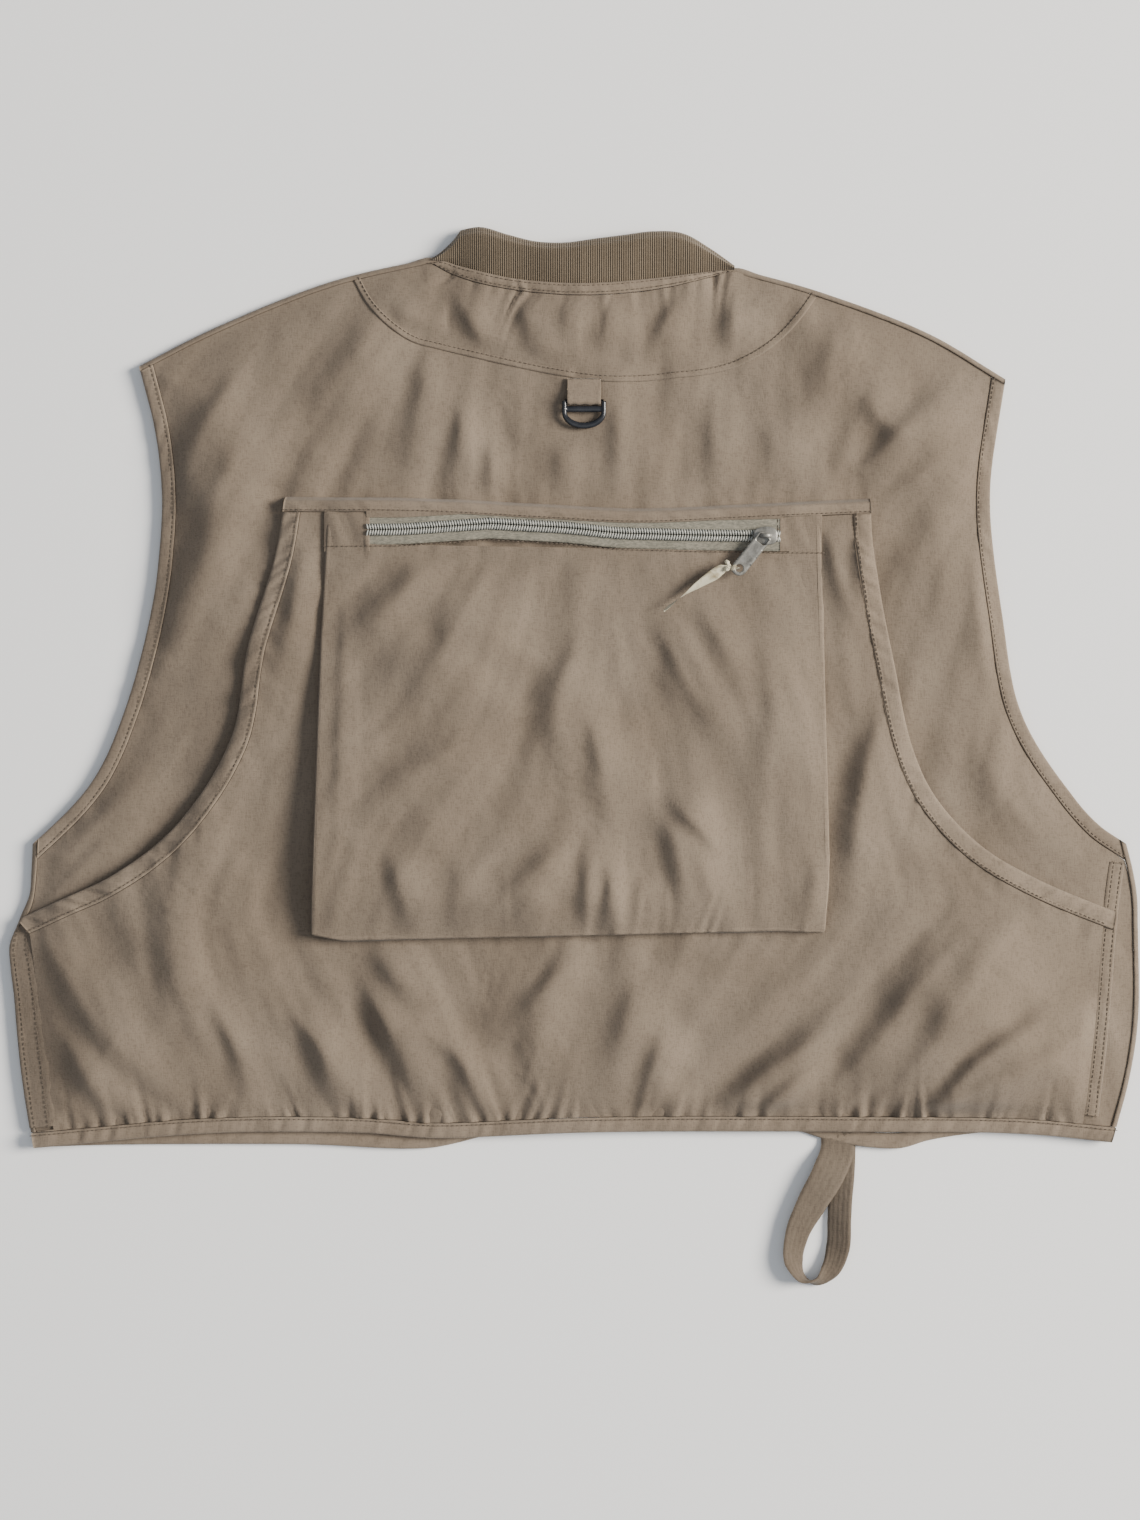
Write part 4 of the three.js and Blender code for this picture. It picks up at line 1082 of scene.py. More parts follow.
# The others: a seam's raised edge, an edge closed down to the ground, and a strip with two sewn channels.
SEAM_SECTION = [
    (0.0, 0.1), (0.2, 0.32), (0.5, 0.18), (0.8, 0.42), (1.0, 0.2), (1.08, -0.4), (1.0, -0.9), (0.0, -0.6),
]
CLOSED_SECTION = [
    (0.0, 0.5), (0.4, 0.42), (0.8, 0.0), (1.1, -1.0), (1.2, -2.0), (1.05, -3.0), (0.6, -3.7), (0.0, -3.9),
]
STRIP_SECTION = [
    (-0.16, -0.7), (-0.12, -0.3), (0.0, 0.05), (0.1, 0.32), (0.2, -0.02), (0.35, 0.32), (0.65, 0.32),
    (0.8, -0.02), (0.9, 0.28), (1.0, -0.1), (1.05, -1.0), (0.5, -1.2),
]


# One stitch: its foot's four corners, in half lengths and half widths, then its narrower top's.
STITCH_BOX = np.array([
    (-1, -1, 0), (1, -1, 0), (1, 1, 0), (-1, 1, 0), (-0.7, -0.6, 1), (0.7, -0.6, 1), (0.7, 0.6, 1),
    (-0.7, 0.6, 1),
])
STITCH_FACES = [(4, 5, 6, 7), (0, 1, 5, 4), (1, 2, 6, 5), (2, 3, 7, 6), (3, 0, 4, 7)]


def stitch_row(line, height, lift):
    """One row of sewn thread along a line, lifted off the cloth's height."""
    count = max(2, int(lengths(line)[-1] / STITCH_PITCH))
    middle = resample(line, count)
    forward, sideways, up = (STITCH_BOX * (STITCH_LENGTH / 2, STITCH_WIDTH / 2, STITCH_HEIGHT)).T[:, :, None]
    flat = middle[:, None] + headings(middle)[:, None] * forward + leftward(middle)[:, None] * sideways
    z = height(flat[..., 0], flat[..., 1]) + lift + up[:, 0]
    faces = [tuple(8 * n + v for v in face) for n in range(count) for face in STITCH_FACES]
    return np.dstack([flat, z]).reshape(-1, 3), faces


def between(sides, share):
    """The line at a share of the way from a band's inner side to its outer side."""
    outer, inner = sides
    count = max(8, int(lengths(outer)[-1] / 3))
    return resample(inner, count) * (1 - share) + resample(outer, count) * share


stitch_rows = []


def band_piece(name, node, height, seed, material=BINDING_MATERIAL, section=BINDING_SECTION, thick=1.0,
               gather=0.35, gather_pitch=6.0, slant=1.2, sides=None, sewn=(), sewn_lift=0.0):
    """A binding along a CAD band, wrinkled across and lying on the cloth's height.

    Sewn has the shares of its width at which rows of stitches run, lifted off the cloth's height.
    """
    for share in sewn:
        stitch_rows.append((between(long_sides(node), share), height, sewn_lift))
    outer, inner = sides or long_sides(node)
    count = int(lengths(outer)[-1] / BAND_STEP)
    outer, inner = resample(outer, count), resample(inner, count)
    across, rise = np.array(section).T
    share = across[:, None]
    flat = inner[:, None] * (1 - share) + outer[:, None] * share
    width = np.linalg.norm(outer - inner, axis=1).mean()
    position = (lengths(outer)[:, None] + slant * across * width) / gather_pitch
    wrinkle = wave_noise(position, seed) + 0.5 * wave_noise(position * 2.3, seed + 1)
    top = np.sin(np.pi * np.clip(across, 0, 1)) * (rise > -0.3)
    z = height(flat[..., 0], flat[..., 1]) + thick * rise + gather * wrinkle * (0.35 + 0.65 * top)
    piece(name, grid_mesh(np.dstack([flat, z])), material, node)


# ---- back panel, yoke and collar ----

hidden_under_cargo = fine_outline("cargo_panel", 6.0) * 0.93 + (0, -2.0)
sheet_piece(
    "back_cloth", "back_panel", fine_outline("back_panel", SHEET_STEP), back_height, SHEET_STEP,
    hidden=hidden_under_cargo,
)
sheet_piece("yoke_cloth", "back_yoke", fine_outline("back_yoke", SHEET_STEP), yoke_height, YOKE_STEP)
band_piece(
    "yoke_edge", None, yoke_height, 101, CLOTH_MATERIAL, SEAM_SECTION, thick=1.1, gather=0.1, gather_pitch=7,
    sides=(beside(YOKE_SEAM, -0.6), beside(YOKE_SEAM, 3.0)),
)
band_piece("neck_binding_cloth", "neck_binding", neck_height, 111, gather=0.22, gather_pitch=5)


def rib_collar(name, node, foot, crest, base_height, lean, seed, upright=False):
    """A 1x1 rib band between its sewn foot and its folded crest, with real ribs."""
    columns = int(lengths(foot)[-1] / RIB_PITCH) * RIB_STEPS
    foot, crest = resample(foot, columns), resample(crest, columns)
    if upright:
        foot = foot[np.argsort(foot[:, 0])]
        crest = crest[np.argsort(crest[:, 0])]
        crest = np.column_stack([foot[:, 0], np.interp(foot[:, 0], crest[:, 0], crest[:, 1])])
        rise = np.clip((foot[:, 0] - foot[0, 0]) / COLLAR_END, 0.05, 1)
        crest[:, 1] = foot[:, 1] + (crest[:, 1] - foot[:, 1]) * rise
    share = np.linspace(0, 1, RIB_ROWS)[:, None]
    x, y = (foot[:, k] * (1 - share) + crest[:, k] * share for k in (0, 1))
    rib = np.abs(np.sin(np.arange(columns) * math.pi / RIB_STEPS)) ** 0.8
    body = base_height(*foot.T) + lean * np.sin(share * math.pi * 0.62) - 2.6 * smoothstep(0.86, 1.0, share)
    top = np.dstack([x, y, body + 0.8 * cloud_noise(x, y, 26, seed) + RIB_DEPTH * rib])
    # The rib turns over at the crest and comes a little way down the far side.
    crest_z = top[-1, :, 2]
    turned = []
    for reach, drop in ((1.2, 1.3), (1.6, 3.0), (1.2, 5.0), (-1.0, 6.5)):
        edge = crest + unit(crest - foot) * reach
        turned.append(np.column_stack([edge, crest_z - 2 * drop * (crest_z - 1.2) / 14]))
    obj = piece(name, grid_mesh(np.concatenate([top, turned]), closed=False), KNIT, node)


collar_crest, collar_foot = long_sides("collar_back", (0, 0))
rib_collar(
    "collar_knit_back", "collar_back", beside(collar_foot, -1.6), collar_crest, collar_foot_height, 3.4, 121,
    upright=True,
)

# ---- armhole bindings, shoulder and side seams, hem ----

for side, seed in (("left", 131), ("right", 137)):
    band_piece(
        f"armhole_{side}_cloth", f"armhole_band_back_{side}", rim_height, seed, thick=1.1, gather=0.4,
        gather_pitch=7, sewn=(0.2,), sewn_lift=0.75,
    )
    band_piece(
        f"armhole_{side}_front_cloth", f"armhole_band_front_{side}", front_height, seed + 2, thick=0.8,
        gather=0.2,
    )

for side, seed in (("left", 141), ("right", 147)):
    for seam, thick in (("shoulder", 0.95), ("side", 0.65)):
        band_piece(
            f"{seam}_{side}_fold", f"{seam}_seam_{side}", rim_height, seed, CLOTH_MATERIAL, CLOSED_SECTION,
            thick=thick, gather=0.15,
        )

band_piece(
    "hem_cloth", "hem_binding_back", hem_height, 151, thick=1.2, gather=0.5, gather_pitch=4.6, slant=0.4,
    sewn=(0.16,), sewn_lift=1.0,
)
for side, seed in (("left", 155), ("right", 157)):
    band_piece(f"hem_front_{side}_cloth", f"hem_binding_front_{side}", front_height, seed)

# ---- cargo panel and its bindings ----

cargo_loop = fine_outline("cargo_panel", SHEET_STEP)
sheet_piece("cargo_cloth", "cargo_panel", cargo_loop, cargo_height, SHEET_STEP)
band_piece(
    "cargo_top_cloth", "cargo_binding_top", cargo_top_height, 161, thick=0.8, gather_pitch=9, sewn=(0.12,),
    sewn_lift=0.75,
)


def inside_left_seam(line):
    """The line's far left end drawn in to the vest's own left edge."""
    seam = LEFT_SEAM_LINE[np.argsort(LEFT_SEAM_LINE[:, 1])]
    limit = np.interp(line[:, 1], seam[:, 1], seam[:, 0]) + 0.6
    return np.column_stack([np.maximum(line[:, 0], limit), line[:, 1]])


def over_right_strip(line):
    """The line's far right end carried on straight, over the strip beside it."""
    rightward = line[-1, 0] > line[0, 0]
    run = line if rightward else line[::-1]
    run = np.vstack([run, run[-1] + unit(run[-1] - run[-2]) * SIDE_STRIP * 0.9])
    return run if rightward else run[::-1]


for side, seed, ended in (("left", 171, inside_left_seam), ("right", 173, over_right_strip)):
    node = f"cargo_binding_{side}"
    band_piece(
        f"cargo_{side}_cloth", node, cargo_edge_height, seed, thick=1.1, gather=0.8, gather_pitch=3.6,
        slant=0.8, sides=[ended(line) for line in long_sides(node)], sewn=(0.16,), sewn_lift=0.95,
    )

for side, seed in (("left", 181), ("right", 183)):
    band_piece(
        f"strip_{side}_cloth", f"side_strip_{side}", strip_height, seed, CLOTH_MATERIAL, STRIP_SECTION,
        thick=0.6, gather=0.3, slant=0.3, sewn=(0.2, 0.8), sewn_lift=0.35,
    )

# ---- bellows pocket ----

pocket_loop = fine_outline("cargo_pocket_face", SHEET_STEP, 30)
sheet_piece("pocket_cloth", "cargo_pocket_face", pocket_loop, pocket_height, POCKET_STEP)


def pocket_rim(loop):
    """The pocket's left, bottom and right edges, from its top left corner round to its top right."""
    x, y = loop.T
    at_side = (x < POCKET_LOW[0] + 14) | (x > POCKET_HIGH[0] - 6)
    rim = loop[at_side & (y < POCKET_HIGH[1] - 2) | (y < POCKET_LOW[1] + 8)]
    rim = np.unique(rim.round(3), axis=0)
    angle = np.arctan2(rim[:, 1] - 20, rim[:, 0])
    return rim[np.argsort(np.where(angle > math.pi / 2, angle - 2 * math.pi, angle))]


rim = resample(pocket_rim(pocket_loop), 520)
face_z = pocket_height(*rim.T)
foot_z = cargo_height(*rim.T) - 0.4
# The gusset turns over the edge, tucks in, and comes out again as one soft bellows pleat.
# Each row has its reach outward, its share of the way from foot to face, and its own rise.
PLEAT = [
    (-1.8, 1.0, 0.22), (-0.4, 0.99, 0.2), (0.55, 0.94, 0.0), (0.7, 0.82, 0.0), (-0.2, 0.66, 0.0),
    (-1.6, 0.52, 0.0), (-0.4, 0.38, 0.0), (0.9, 0.24, 0.0), (0.8, 0.12, 0.0), (-1.4, 0.0, 0.0),
]
waver = 0.7 * wave_noise(np.arange(len(rim)) / 14, 191)
gusset_rows = []
for reach, share, raised in PLEAT:
    reach = reach + waver * (0.15 < share < 0.5)
    gusset_rows.append(edge_row(rim, -reach, foot_z + (face_z - foot_z) * share + raised))
gusset = piece(
    "pocket_gusset_cloth", grid_mesh(gusset_rows, closed=False), BINDING_MATERIAL, "cargo_pocket_gusset",
)

# ---- zip on the pocket ----


def tape_piece(name, node, line, near, far, z0):
    """A zip tape: a thin ribbon beside the coils, rough at its edge."""
    top, under = [], []
    for share in np.linspace(0, 1, 7):
        reach = near + (far - near) * share
        fray = 0.16 * wave_noise(np.arange(len(line)) * (0.9 + 0.3 * share), int(200 + 10 * share))
        top.append(edge_row(line, reach, z0 + 0.1 + fray * (0.4 + share)))
        under.append(edge_row(line, reach, z0 - 0.5))
    piece(name, grid_mesh(np.stack(top + under[::-1], axis=1)), TAPE, node)


def coil_piece(name, node, line, side, z0, up=1.0):
    """One half of the chain: a flattened nylon coil whose turns hook into the other half."""
    steps = int(lengths(line)[-1] / COIL_PITCH) * COIL_STEPS
    centre = resample(line, steps)
    phase = np.arange(steps) * 2 * math.pi / COIL_STEPS
    out = side * (1.7 + 1.25 * np.cos(phase))
    z0 = np.interp(np.arange(steps), np.linspace(0, steps - 1, len(line)), np.broadcast_to(z0, len(line)))
    path = edge_row(centre, out, z0 + up * (1.0 + 0.8 * np.sin(phase)))
    tangent = headings(path)
    first = unit(np.cross(tangent, np.column_stack([headings(centre), np.zeros(steps)])))
    second = np.cross(tangent, first)
    piece(name, tube(path, COIL_WIRE * first, COIL_WIRE * second, COIL_SIDES), COIL, node)


top_edge = TOP_BINDING_EDGE[np.argsort(TOP_BINDING_EDGE[:, 0])]
to_binding = np.interp(ZIP_CENTRE[:, 0], *top_edge.T) - TAPE_TUCK - ZIP_CENTRE[:, 1]
tape_reach = np.interp(ZIP_CENTRE[:, 0], (ZIP_LEFT_X, 0, ZIP_RIGHT_X), TAPE_UPPER_WIDTHS)
tape_reach = np.minimum(tape_reach, to_binding)
tape_piece("tape_upper", "pocket_tape_upper", ZIP_CENTRE, 0.3, tape_reach, TAPE_Z)

# A fold of the cargo cloth shows between the tape and the top binding.
fold_rows = []
for share in np.linspace(0, 1, 7):
    reach = tape_reach - 0.3 + (to_binding + 1.0 - tape_reach) * share
    fold_rows.append(edge_row(ZIP_CENTRE, reach, TAPE_Z + 0.55 + 0.25 * math.sin(math.pi * share)))
piece("zip_top_cloth", grid_mesh(fold_rows, closed=False), CLOTH_MATERIAL)
tape_piece("tape_lower", "pocket_tape_lower", ZIP_CENTRE, -0.3, -TAPE_LOWER_WIDTH - 0.8, TAPE_Z)

# Under each coil lies a dark strip: painted shade, standing for the shade under and beside the coil.
for name, side in (("upper", 1), ("lower", -1)):
    section = ((0.1, 0.0), (0.5, 0.35), (2.9, 0.35), (3.5, 0.0))
    shade_strip_rows = [edge_row(ZIP_CENTRE, side * reach, TAPE_Z + rise) for reach, rise in section]
    piece(f"coil_shade_strip_{name}", grid_mesh(np.stack(shade_strip_rows, axis=1)), COIL_SHADE_STRIP)
for name, side in (("upper", 1), ("lower", -1)):
    coil_piece(f"coil_{name}", f"pocket_coil_{name}", ZIP_CENTRE, side, TAPE_Z + 0.1)

# Beside each end of the zip the pocket's cloth runs on up to the top binding, in upright folds.
ZIP_ENDS = [("left", POCKET_LOW[0] + 6.4, ZIP_LEFT_X), ("right", POCKET_HIGH[0] - 3.4, ZIP_RIGHT_X)]
for side, edge_x, zip_x in ZIP_ENDS:
    across = np.linspace(edge_x, zip_x + math.copysign(1.6, zip_x - edge_x), 34)
    x, y = np.meshgrid(across, np.linspace(ZIP_SEAM_Y, ZIP_END_TOP_Y, 24))
    near_zip = np.exp(-np.abs(x - zip_x) / 5)
    outer = np.exp(-np.abs(x - edge_x) / 2.5)
    tucked = 1.8 * smoothstep(ZIP_END_TOP_Y - 4, ZIP_END_TOP_Y, y)
    folded = 0.8 * near_zip - tucked + 0.3 * np.cos((x - zip_x) * 0.45 + y * 0.16)
    z = pocket_height(x, y) + 0.12 - 0.5 * outer + folded * smoothstep(ZIP_SEAM_Y, ZIP_SEAM_Y + 7, y)
    rows = np.dstack([x, y, z])
    rows = np.concatenate([rows, rows[:, -1:] - (0, 0, 1.6)], axis=1)
    end = piece(
        f"zip_end_{side}_cloth", grid_mesh(rows, closed=False), CLOTH_MATERIAL, f"pocket_zip_end_{side}",
    )

# ---- slider, pull tab and ribbon ----

JOINTS = {joint["name"]: joint for joint in frame["joints"]}


def pivot(joint):
    """Where a joint's axis passes, in millimetres."""
    return np.array(JOINTS[joint]["pos_m"]) / MM


def plate(ring, low, high, crown=0.0):
    """A plate with a soft rounded rim and an optional crowned top. Both its ends face outward."""
    centre = ring.mean(axis=0)
    levels = [
        (1.0, low), (1.0, high - 0.35), (0.97, high - 0.1), (0.9, high), (0.6, high + crown * 0.7),
        (0.3, high + crown), (0.02, high + crown),
    ]
    rows = [np.column_stack([centre + (ring - centre) * share, np.full(len(ring), z)]) for share, z in levels]
    points, faces = grid_mesh(rows)
    return points, faces[:-2] + [face[::-1] for face in faces[-2:]]


def slider_mesh():
    """A shield-shaped slider along X: two plates, a post and a domed bail."""
    c, s = np.cos(round_turn(40)), np.sin(round_turn(40))
    x = SLIDER_HALF_LENGTH * np.sign(c) * np.abs(c) ** 0.75
    narrowed = 1 - 0.16 * (x < 0) * np.abs(x) / SLIDER_HALF_LENGTH
    shield = np.column_stack([x, SLIDER_HALF_WIDTH * np.sign(s) * np.abs(s) ** 0.7 * narrowed])
    post = np.array([(6.0, 0.4), (2.9, 0.4), (2.9, -0.4), (6.0, -0.4)])
    turn = np.linspace(0, math.pi, 22)
    arch = np.column_stack([3.0 * np.cos(turn), 0 * turn, SLIDER_TOP - 0.3 + 3.3 * np.sin(turn) ** 0.8])
    tangent = headings(arch)
    across = unit(np.cross(tangent, (0.0, 1.0, 0.0)))
    return merge(
        plate(shield, SLIDER_TOP - 1.4, SLIDER_TOP, 0.5),
        plate(shield * 0.98, SLIDER_BOTTOM, SLIDER_BOTTOM + 1.3),
        plate(post, SLIDER_BOTTOM + 1, SLIDER_TOP - 1),
        tube(arch, BAIL_HALF_THICKNESS * across, BAIL_HALF_WIDTH * np.cross(tangent, across), 10),
    )


def tab_mesh():
    """A pull tab along X: a frame with a raised rim, an eye for the bail and a round hole."""
    half = TAB_HALF_WIDTH
    end = TAB_LENGTH - half - 0.75
    arc = [(end + half * math.cos(a), half * math.sin(a)) for a in np.linspace(-math.pi / 2, math.pi / 2, 17)]
    near = [(-0.2, half - 0.7), (-0.75, half - 1.6), (-0.75, -half + 1.6), (-0.2, -half + 0.7)]
    outer = np.array([(1.2, -half * 0.96), *arc, (1.2, half * 0.96), *near])
    eye = np.array([(0.75, -3.0), (4.6, -3.0), (5.3, -2.4), (5.3, 2.4), (4.6, 3.0), (0.75, 3.0)])
    hole = np.array([(end + TAB_HOLE * math.cos(a), TAB_HOLE * math.sin(a)) for a in round_turn(28)])
    outer, eye, hole = loops = [
        resample(closed(loop), count)[:-1] for loop, count in ((outer, 121), (eye, 41), (hole, 41))
    ]
    edges, start = [], 0
    for loop in loops:
        edges += [(start + i, start + (i + 1) % len(loop)) for i in range(len(loop))]
        start += len(loop)
    inner_y = np.arange(-half + 0.9, half - 0.5, 0.8)
    filling = [(x, y) for x in np.arange(0.2, TAB_LENGTH, 0.8) for y in inner_y]
    points = [Vector(p) for p in [*outer, *eye, *hole, *filling]]
    flat, _, faces, *_ = geometry.delaunay_2d_cdt(points, edges, [], 0, 1e-5)
    flat = np.array([tuple(p) for p in flat])
    middles = np.array([flat[list(face)].mean(axis=0) for face in faces]).T
    solid = inside(outer, *middles) & ~inside(eye, *middles) & ~inside(hole, *middles)
    kept = [tuple(face) for face, keep in zip(faces, solid) if keep]
    rim_gap = off([closed(outer)], *flat.T)
    hole_gap = off([closed(hole)], *flat.T)
    raised = 0.42 * bell(rim_gap - 0.55, 0.5) + 0.3 * bell(hole_gap - 0.4, 0.45) - 0.35 * bell(rim_gap, 0.25)
    count = len(flat)
    top = np.column_stack([flat, TAB_THICKNESS / 2 - 0.1 + raised])
    bottom = np.column_stack([flat, np.full(count, -TAB_THICKNESS / 2)])
    lower = [(c + count, b + count, a + count) for a, b, c in kept]
    used = dict.fromkeys(edge for a, b, c in kept for edge in ((a, b), (b, c), (c, a)))
    walls = [(a, a + count, b + count, b) for a, b in used if (b, a) not in used]
    return np.concatenate([top, bottom]), kept + lower + walls


# The ribbon is threaded through the tab's hole, knotted beside it, and twists to a thin end.
RIBBON_PATH = [
    (23.6, 0.4, 0.9), (25.2, -2.2, 1.7), (27.3, -5.6, 1.2), (29.6, -7.0, 0.7), (35, -8.6, 0.5),
    (44, -11.6, 0.2), (53, -14.2, 0.0), (61, -16.2, 0.1), (68.8, -17.8, -0.2),
]
# Each pair below has a share of the ribbon's length and the value there.
RIBBON_HALF_WIDTHS = [
    (0, 1.2), (0.06, 1.6), (0.13, 1.0), (0.2, 3.3), (0.34, 3.2), (0.6, 1.7), (0.78, 0.9), (0.9, 1.6),
    (1, 0.9),
]
RIBBON_TWISTS = [(0, 1.2), (0.15, 0.9), (0.3, 0.25), (0.55, 0.5), (0.75, 1.5), (1, 2.4)]


def ribbon_mesh():
    path = curve_through(RIBBON_PATH, 0.8)
    share = lengths(path) / lengths(path)[-1]
    half = np.interp(share, *zip(*RIBBON_HALF_WIDTHS))
    across, lift, _ = ribbon_frame(path, np.interp(share, *zip(*RIBBON_TWISTS)))
    rows = []
    for place in (-1, -0.6, -0.2, 0.2, 0.6, 1):
        rows.append(path + across * (half * place)[:, None] + lift * 0.5 * place**2)
    under = [row - (0, 0, 0.22) for row in rows[::-1]]
    return grid_mesh(np.stack(rows + under, axis=1))


def lump(centre, radii, turns):
    """A lump of the knot, with soft spiral ridges."""
    rise = np.linspace(-math.pi / 2, math.pi / 2, 17)[:, None]
    turn = round_turn(24)
    ball = np.dstack([np.cos(rise) * np.cos(turn), np.cos(rise) * np.sin(turn), np.sin(rise) + 0 * turn])
    points, faces = grid_mesh(ball * radii)
    x, y, z = points.T
    wrap = 1 + 0.10 * np.sin(turns * np.arctan2(y, x) + 4 * z + 2 * x)
    return points * wrap[:, None] + centre, faces[:-2]


SLIDER = slider_mesh()
TAB = tab_mesh()
PULL_PIVOT = pivot("pocket_pull_swing")
PULL_AXIS = JOINTS["pocket_pull_swing"]["axis"]
PULL_HEADING = math.atan2(PULL_AXIS[0], -PULL_AXIS[1])
SLIDE_AXIS = JOINTS["pocket_zip_slide"]["axis"]
ZIP_ANGLE = math.atan2(-SLIDE_AXIS[1], -SLIDE_AXIS[0])
pocket_slider = placed(SLIDER, PULL_PIVOT * (1, 1, 0), ZIP_ANGLE)
piece("slider_metal", pocket_slider, METAL, "pocket_slider", "pocket_slide")
piece("tab_metal", placed(TAB, PULL_PIVOT, PULL_HEADING), METAL, "pocket_pull", "pocket_pull_tab")
knotted = merge(
    ribbon_mesh(), lump((27.4, -5.4, 1.0), (2.4, 1.7, 1.5), 5), lump((25.4, -7.4, 1.3), (1.3, 1.5, 1.1), 4),
    lump((25.4, -2.6, 1.4), (1.9, 1.2, 1.0), 3),
)
ribbon = piece(
    "ribbon_satin", placed(knotted, PULL_PIVOT, PULL_HEADING), RIBBON, "pull_ribbon", "pocket_pull_tab",
)

# ---- D-ring and its tab ----

RING_PIVOT = pivot("d_ring_swing")


def ring_mesh():
    """A moulded D: bowed end, straight sides, a cross bar and the bar inside the tab."""
    low, high = in_mm("d_ring")
    half = (high[0] - low[0]) / 2 - RING_WIRE
    bow = RING_PIVOT[1] - low[1] - RING_WIRE
    left = [(-half, y, 0.0) for y in (0.0, -3.0, -6.0)]
    right = [(half, y, 0.0) for y in (-6.0, -3.0, 0.0)]
    turns = np.linspace(0.12, math.pi - 0.12, 25)
    arc = [(-half * math.cos(a), -6.0 - (bow - 6.0) * math.sin(a), 0.0) for a in turns]
    path = curve_through(left + arc + right, 0.7)
    level = np.cross(headings(path), (0, 0, 1.0))
    thick = 1.35 + 0.45 * smoothstep(6, bow, -path[:, 1])
    hoop = tube(path, level * thick[:, None], np.full_like(path, (0, 0, 1.2)), 14)

    def bar(y, deep, tall):
        line = np.column_stack([np.linspace(-half, half, 9), np.full(9, y), np.zeros(9)])
        return tube(line, np.full_like(line, (0, deep, 0)), np.full_like(line, (0, 0, tall)), 16)

    return merge(hoop, bar(-4.4, 1.75, 1.15), bar(0.0, 1.1, 1.1))


def tab_strip():
    """A stitched fabric tab, folded round the ring's bar, with lengthwise ridges."""
    low, high = in_mm("ring_tab")
    _, bar_y, bar_z = RING_PIVOT
    path = curve_through([
        (high[1] + 1.0, TAB_FOOT_Z + 0.6), (high[1] - 5, TAB_FOOT_Z + 2.0), (bar_y + 1.5, bar_z + 1.75),
        (bar_y, bar_z + 1.9), (bar_y - 1.4, bar_z + 1.3), (bar_y - 2.0, bar_z), (bar_y - 1.4, bar_z - 1.3),
        (bar_y, bar_z - 1.8), (bar_y + 4, bar_z - 2.4), (high[1] + 1.0, TAB_FOOT_Z),
    ], 0.7)
    share = np.linspace(0, 1, 40)
    ridges = 0.16 * np.cos(share * 6 * math.pi) - 0.5 * (share < 0.03) - 0.5 * (share > 0.97)
    away = unit(path - (bar_y + 5, bar_z))
    outer = path[:, None] + away[:, None] * ridges[:, None] * 0.8
    inner = outer - 0.55 * away[:, None]
    both = np.concatenate([outer, inner[:, ::-1]], axis=1)
    x = np.linspace(low[0], high[0], 40)
    x = np.broadcast_to(np.concatenate([x, x[::-1]]), both.shape[:2])
    return grid_mesh(np.dstack([x, both]))


ring_points, ring_faces = ring_mesh()
piece("ring_plastic", (ring_points + RING_PIVOT, ring_faces), PLASTIC, "d_ring", "ring")
piece("ring_tab_cloth", tab_strip(), BINDING_MATERIAL, "ring_tab")

# ---- strap loop at the hem ----

# The strap runs down the left leg, folds over at the foot and comes back up the right leg.
# Each row has the place of the strap's middle, its half width, and its tilt in radians.
STRAP = [
    ((149.5, -213, 1.4), 9.6, 0.0), ((149.5, -221, 2.6), 9.6, 0.0), ((144.2, -235, 6.4), 9.6, 0.05),
    ((134.2, -253, 6.2), 8.6, 0.12), ((126.0, -271, 5.0), 7.0, 0.25), ((124.4, -286, 4.6), 6.3, 0.5),
    ((129.5, -295.6, 4.8), 4.4, 1.1), ((137.5, -297.2, 4.8), 3.8, 2.2), ((145.0, -290.5, 4.6), 5.4, 3.1),
    ((149.4, -278, 4.4), 6.9, 3.45), ((150.2, -262, 4.2), 7.0, 3.5), ((150.8, -250, 3.6), 7.0, 3.45),
    ((151.5, -235, 2.4), 7.6, 3.35), ((151.0, -221, 1.2), 8.6, 3.2), ((150.5, -214, 0.9), 9.0, 3.14),
]


def strap_mesh():
    places, widths, tilts = (np.array(column) for column in zip(*STRAP))
    path = curve_through(places, 1.4)
    share = lengths(path) / lengths(path)[-1]
    knots = lengths(places) / lengths(places)[-1]
    half = np.interp(share, knots, widths)
    across, _, face = ribbon_frame(path, np.interp(share, knots, tilts))
    top, under = [], []
    for mark in np.linspace(-1, 1, 25):
        middle = path + across * (half * mark)[:, None]
        quilt = 0.32 * abs(math.cos(mark * math.pi * 2.5)) ** 0.6
        loft = face * (0.75 * (1 - abs(mark) ** 8) + quilt * 0.6)
        top.append(middle + loft)
        under.append(middle - loft)
    section = np.stack(top + under[::-1], axis=1)
    section[:, :, 2] = np.maximum(section[:, :, 2], 0.4)
    return grid_mesh(section)


strap = piece("strap_cloth", strap_mesh(), STRAP_PAINTED_SHADE_MATERIAL, "rod_loop", None)
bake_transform(strap)

# ---- the hidden front: panels, collar, zip and pockets ----

for side in ("left", "right"):
    node = f"front_panel_{side}"
    loop = fine_outline(node, FRONT_STEP)
    sheet_piece(f"front_{side}_cloth", node, loop, front_height, FRONT_STEP, INSIDE_MATERIAL)
    node = f"collar_front_{side}"
    rib_collar(f"collar_knit_front_{side}", node, *long_sides(node, (0, 240)), front_collar_height, 0.6, 301)

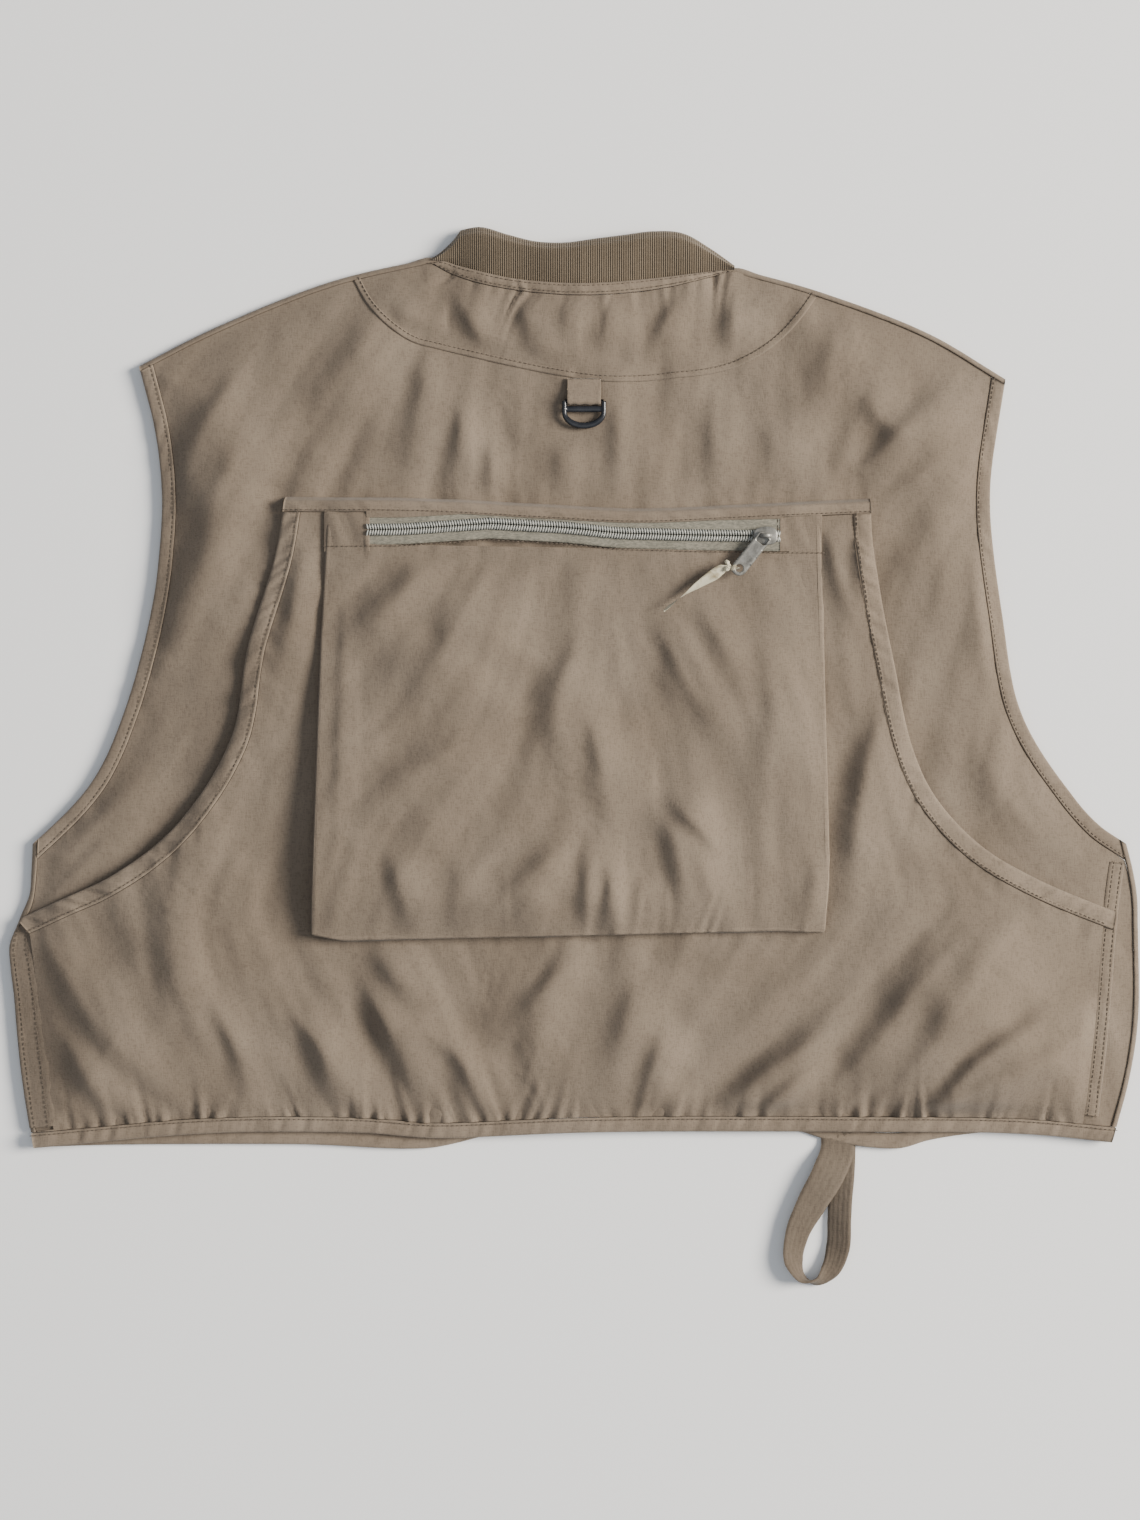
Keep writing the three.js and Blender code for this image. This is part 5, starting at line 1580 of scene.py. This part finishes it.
tape_low, tape_high = in_mm("front_tape_left")
front_x = (in_mm("front_coil_left")[1][0] + in_mm("front_coil_right")[0][0]) / 2
front_line = np.column_stack([np.full(200, front_x), np.linspace(tape_low[1], tape_high[1], 200)])
front_line_z = front_height(*front_line.T) + 0.5
for side, sign in (("left", 1), ("right", -1)):
    node = f"front_tape_{side}"
    tape_piece(f"{node}_cloth", node, front_line, sign * 0.6, sign * 13.4, front_line_z)
    node = f"front_coil_{side}"
    coil_piece(f"{node}_nylon", node, front_line, sign, front_line_z - 0.6, up=-0.6)

# The zip's box is a small block with rounded edges.
(x0, y0, _), (x1, y1, _) = in_mm("front_zip_box")
box_points = [(x, y, z) for z in FRONT_BOX_Z for y in (y0, y1) for x in (x0, x1)]
box_faces = [(0, 2, 3, 1), (4, 5, 7, 6), (0, 1, 5, 4), (2, 6, 7, 3), (0, 4, 6, 2), (1, 3, 7, 5)]
zip_box = piece("front_box_metal", (box_points, box_faces), METAL, "front_zip_box")
rounding = zip_box.modifiers.new("rounding", "BEVEL")
rounding.width = 0.7 * MM
rounding.segments = 3

FRONT_PIVOT = pivot("front_pull_swing")
front_origin = (FRONT_PIVOT[0], FRONT_PIVOT[1], FRONT_SLIDER_FLIP_Z)
front_slider = placed(SLIDER, front_origin, math.pi / 2, flip=True)
piece("front_slider_metal", front_slider, METAL, "front_slider", "front_slide")
front_tab = placed(TAB, FRONT_PIVOT, -math.pi / 2, flip=True)
piece("front_tab_metal", front_tab, METAL, "front_pull", "front_pull_tab")


def box_loop(low, high, step, radius=6.0):
    """A rectangle with rounded corners."""
    corners = [
        (high[0] - radius, low[1] + radius, -90), (high[0] - radius, high[1] - radius, 0),
        (low[0] + radius, high[1] - radius, 90), (low[0] + radius, low[1] + radius, 180),
    ]
    points = []
    for x, y, start in corners:
        for turn in np.radians(np.linspace(start, start + 90, 6)):
            points.append((x + radius * math.cos(turn), y + radius * math.sin(turn)))
    points = closed(np.array(points))
    return resample(points, int(lengths(points)[-1] / step))[:-1]


def front_pocket(name, side):
    """A patch pocket on the front, with its low folded wall and its flap."""
    low, high = in_mm(f"{name}_pocket_{side}")
    flap_low, flap_high = in_mm(f"{name}_flap_{side}")

    def face_height(x, y):
        edge = np.minimum.reduce([x - low[0], high[0] - x, y - low[1], high[1] - y])
        lip = smoothstep(high[1] - 24, high[1] - 18, y)
        return 0.7 + 1.3 * np.exp(-np.maximum(edge, 0) / 4) + 1.2 * lip + 0.2 * cloud_noise(x, y, 18, 311)

    def flap_height(x, y):
        edge = np.minimum.reduce([x - flap_low[0], flap_high[0] - x, y - flap_low[1]])
        slope = smoothstep(flap_low[1] + 20, flap_high[1], y)
        return 0.65 + 6.2 * slope + 0.35 * np.exp(-np.maximum(edge, 0) / 3)

    loop = box_loop(low, high, FRONT_POCKET_STEP)
    sheet_piece(
        f"{name}_{side}_pocket_cloth", f"{name}_pocket_{side}", loop, face_height, FRONT_POCKET_STEP,
        INSIDE_MATERIAL,
    )
    line = loop[loop[:, 1] < high[1] - 5]
    line = np.roll(line, -np.argmax(np.linalg.norm(line - np.roll(line, 1, axis=0), axis=1)), axis=0)
    away = unit(line - (low[:2] + high[:2]) / 2)
    rows = []
    for reach, height in ((-0.4, 2.2), (-1.0, 3.6), (-0.2, 5.0), (-1.0, 6.2), (-0.4, 7.4)):
        rows.append(np.column_stack([line + away * reach, np.full(len(line), height)]))
    wall = grid_mesh(rows, closed=False)
    wall = piece(f"{name}_{side}_gusset_cloth", wall, INSIDE_MATERIAL, f"{name}_gusset_{side}")
    sheet_piece(
        f"{name}_{side}_flap_cloth", f"{name}_flap_{side}", box_loop(flap_low, flap_high, FRONT_FLAP_STEP),
        flap_height, FRONT_FLAP_STEP, INSIDE_MATERIAL, f"flap_{name}_{side}",
    )


for name in ("chest", "lower"):
    for side in ("left", "right"):
        front_pocket(name, side)

# ---- topstitching ----

for share in (0.22, 0.78):
    stitch_rows.append((between(NECK_SIDES, share), neck_height, 0.85))
stitch_rows.append((beside(YOKE_SEAM, 2.4), yoke_height, 0.45))
zip_seam = beside(ZIP_CENTRE, -TAPE_LOWER_WIDTH - 1.6)
zip_seam = np.vstack([(POCKET_LOW[0] + 6, zip_seam[0][1]), zip_seam, (POCKET_HIGH[0] - 3, zip_seam[-1][1])])
stitch_rows.append((zip_seam, pocket_height, 0.65))
piece("topstitching", merge(*[stitch_row(*row) for row in stitch_rows]), THREAD)
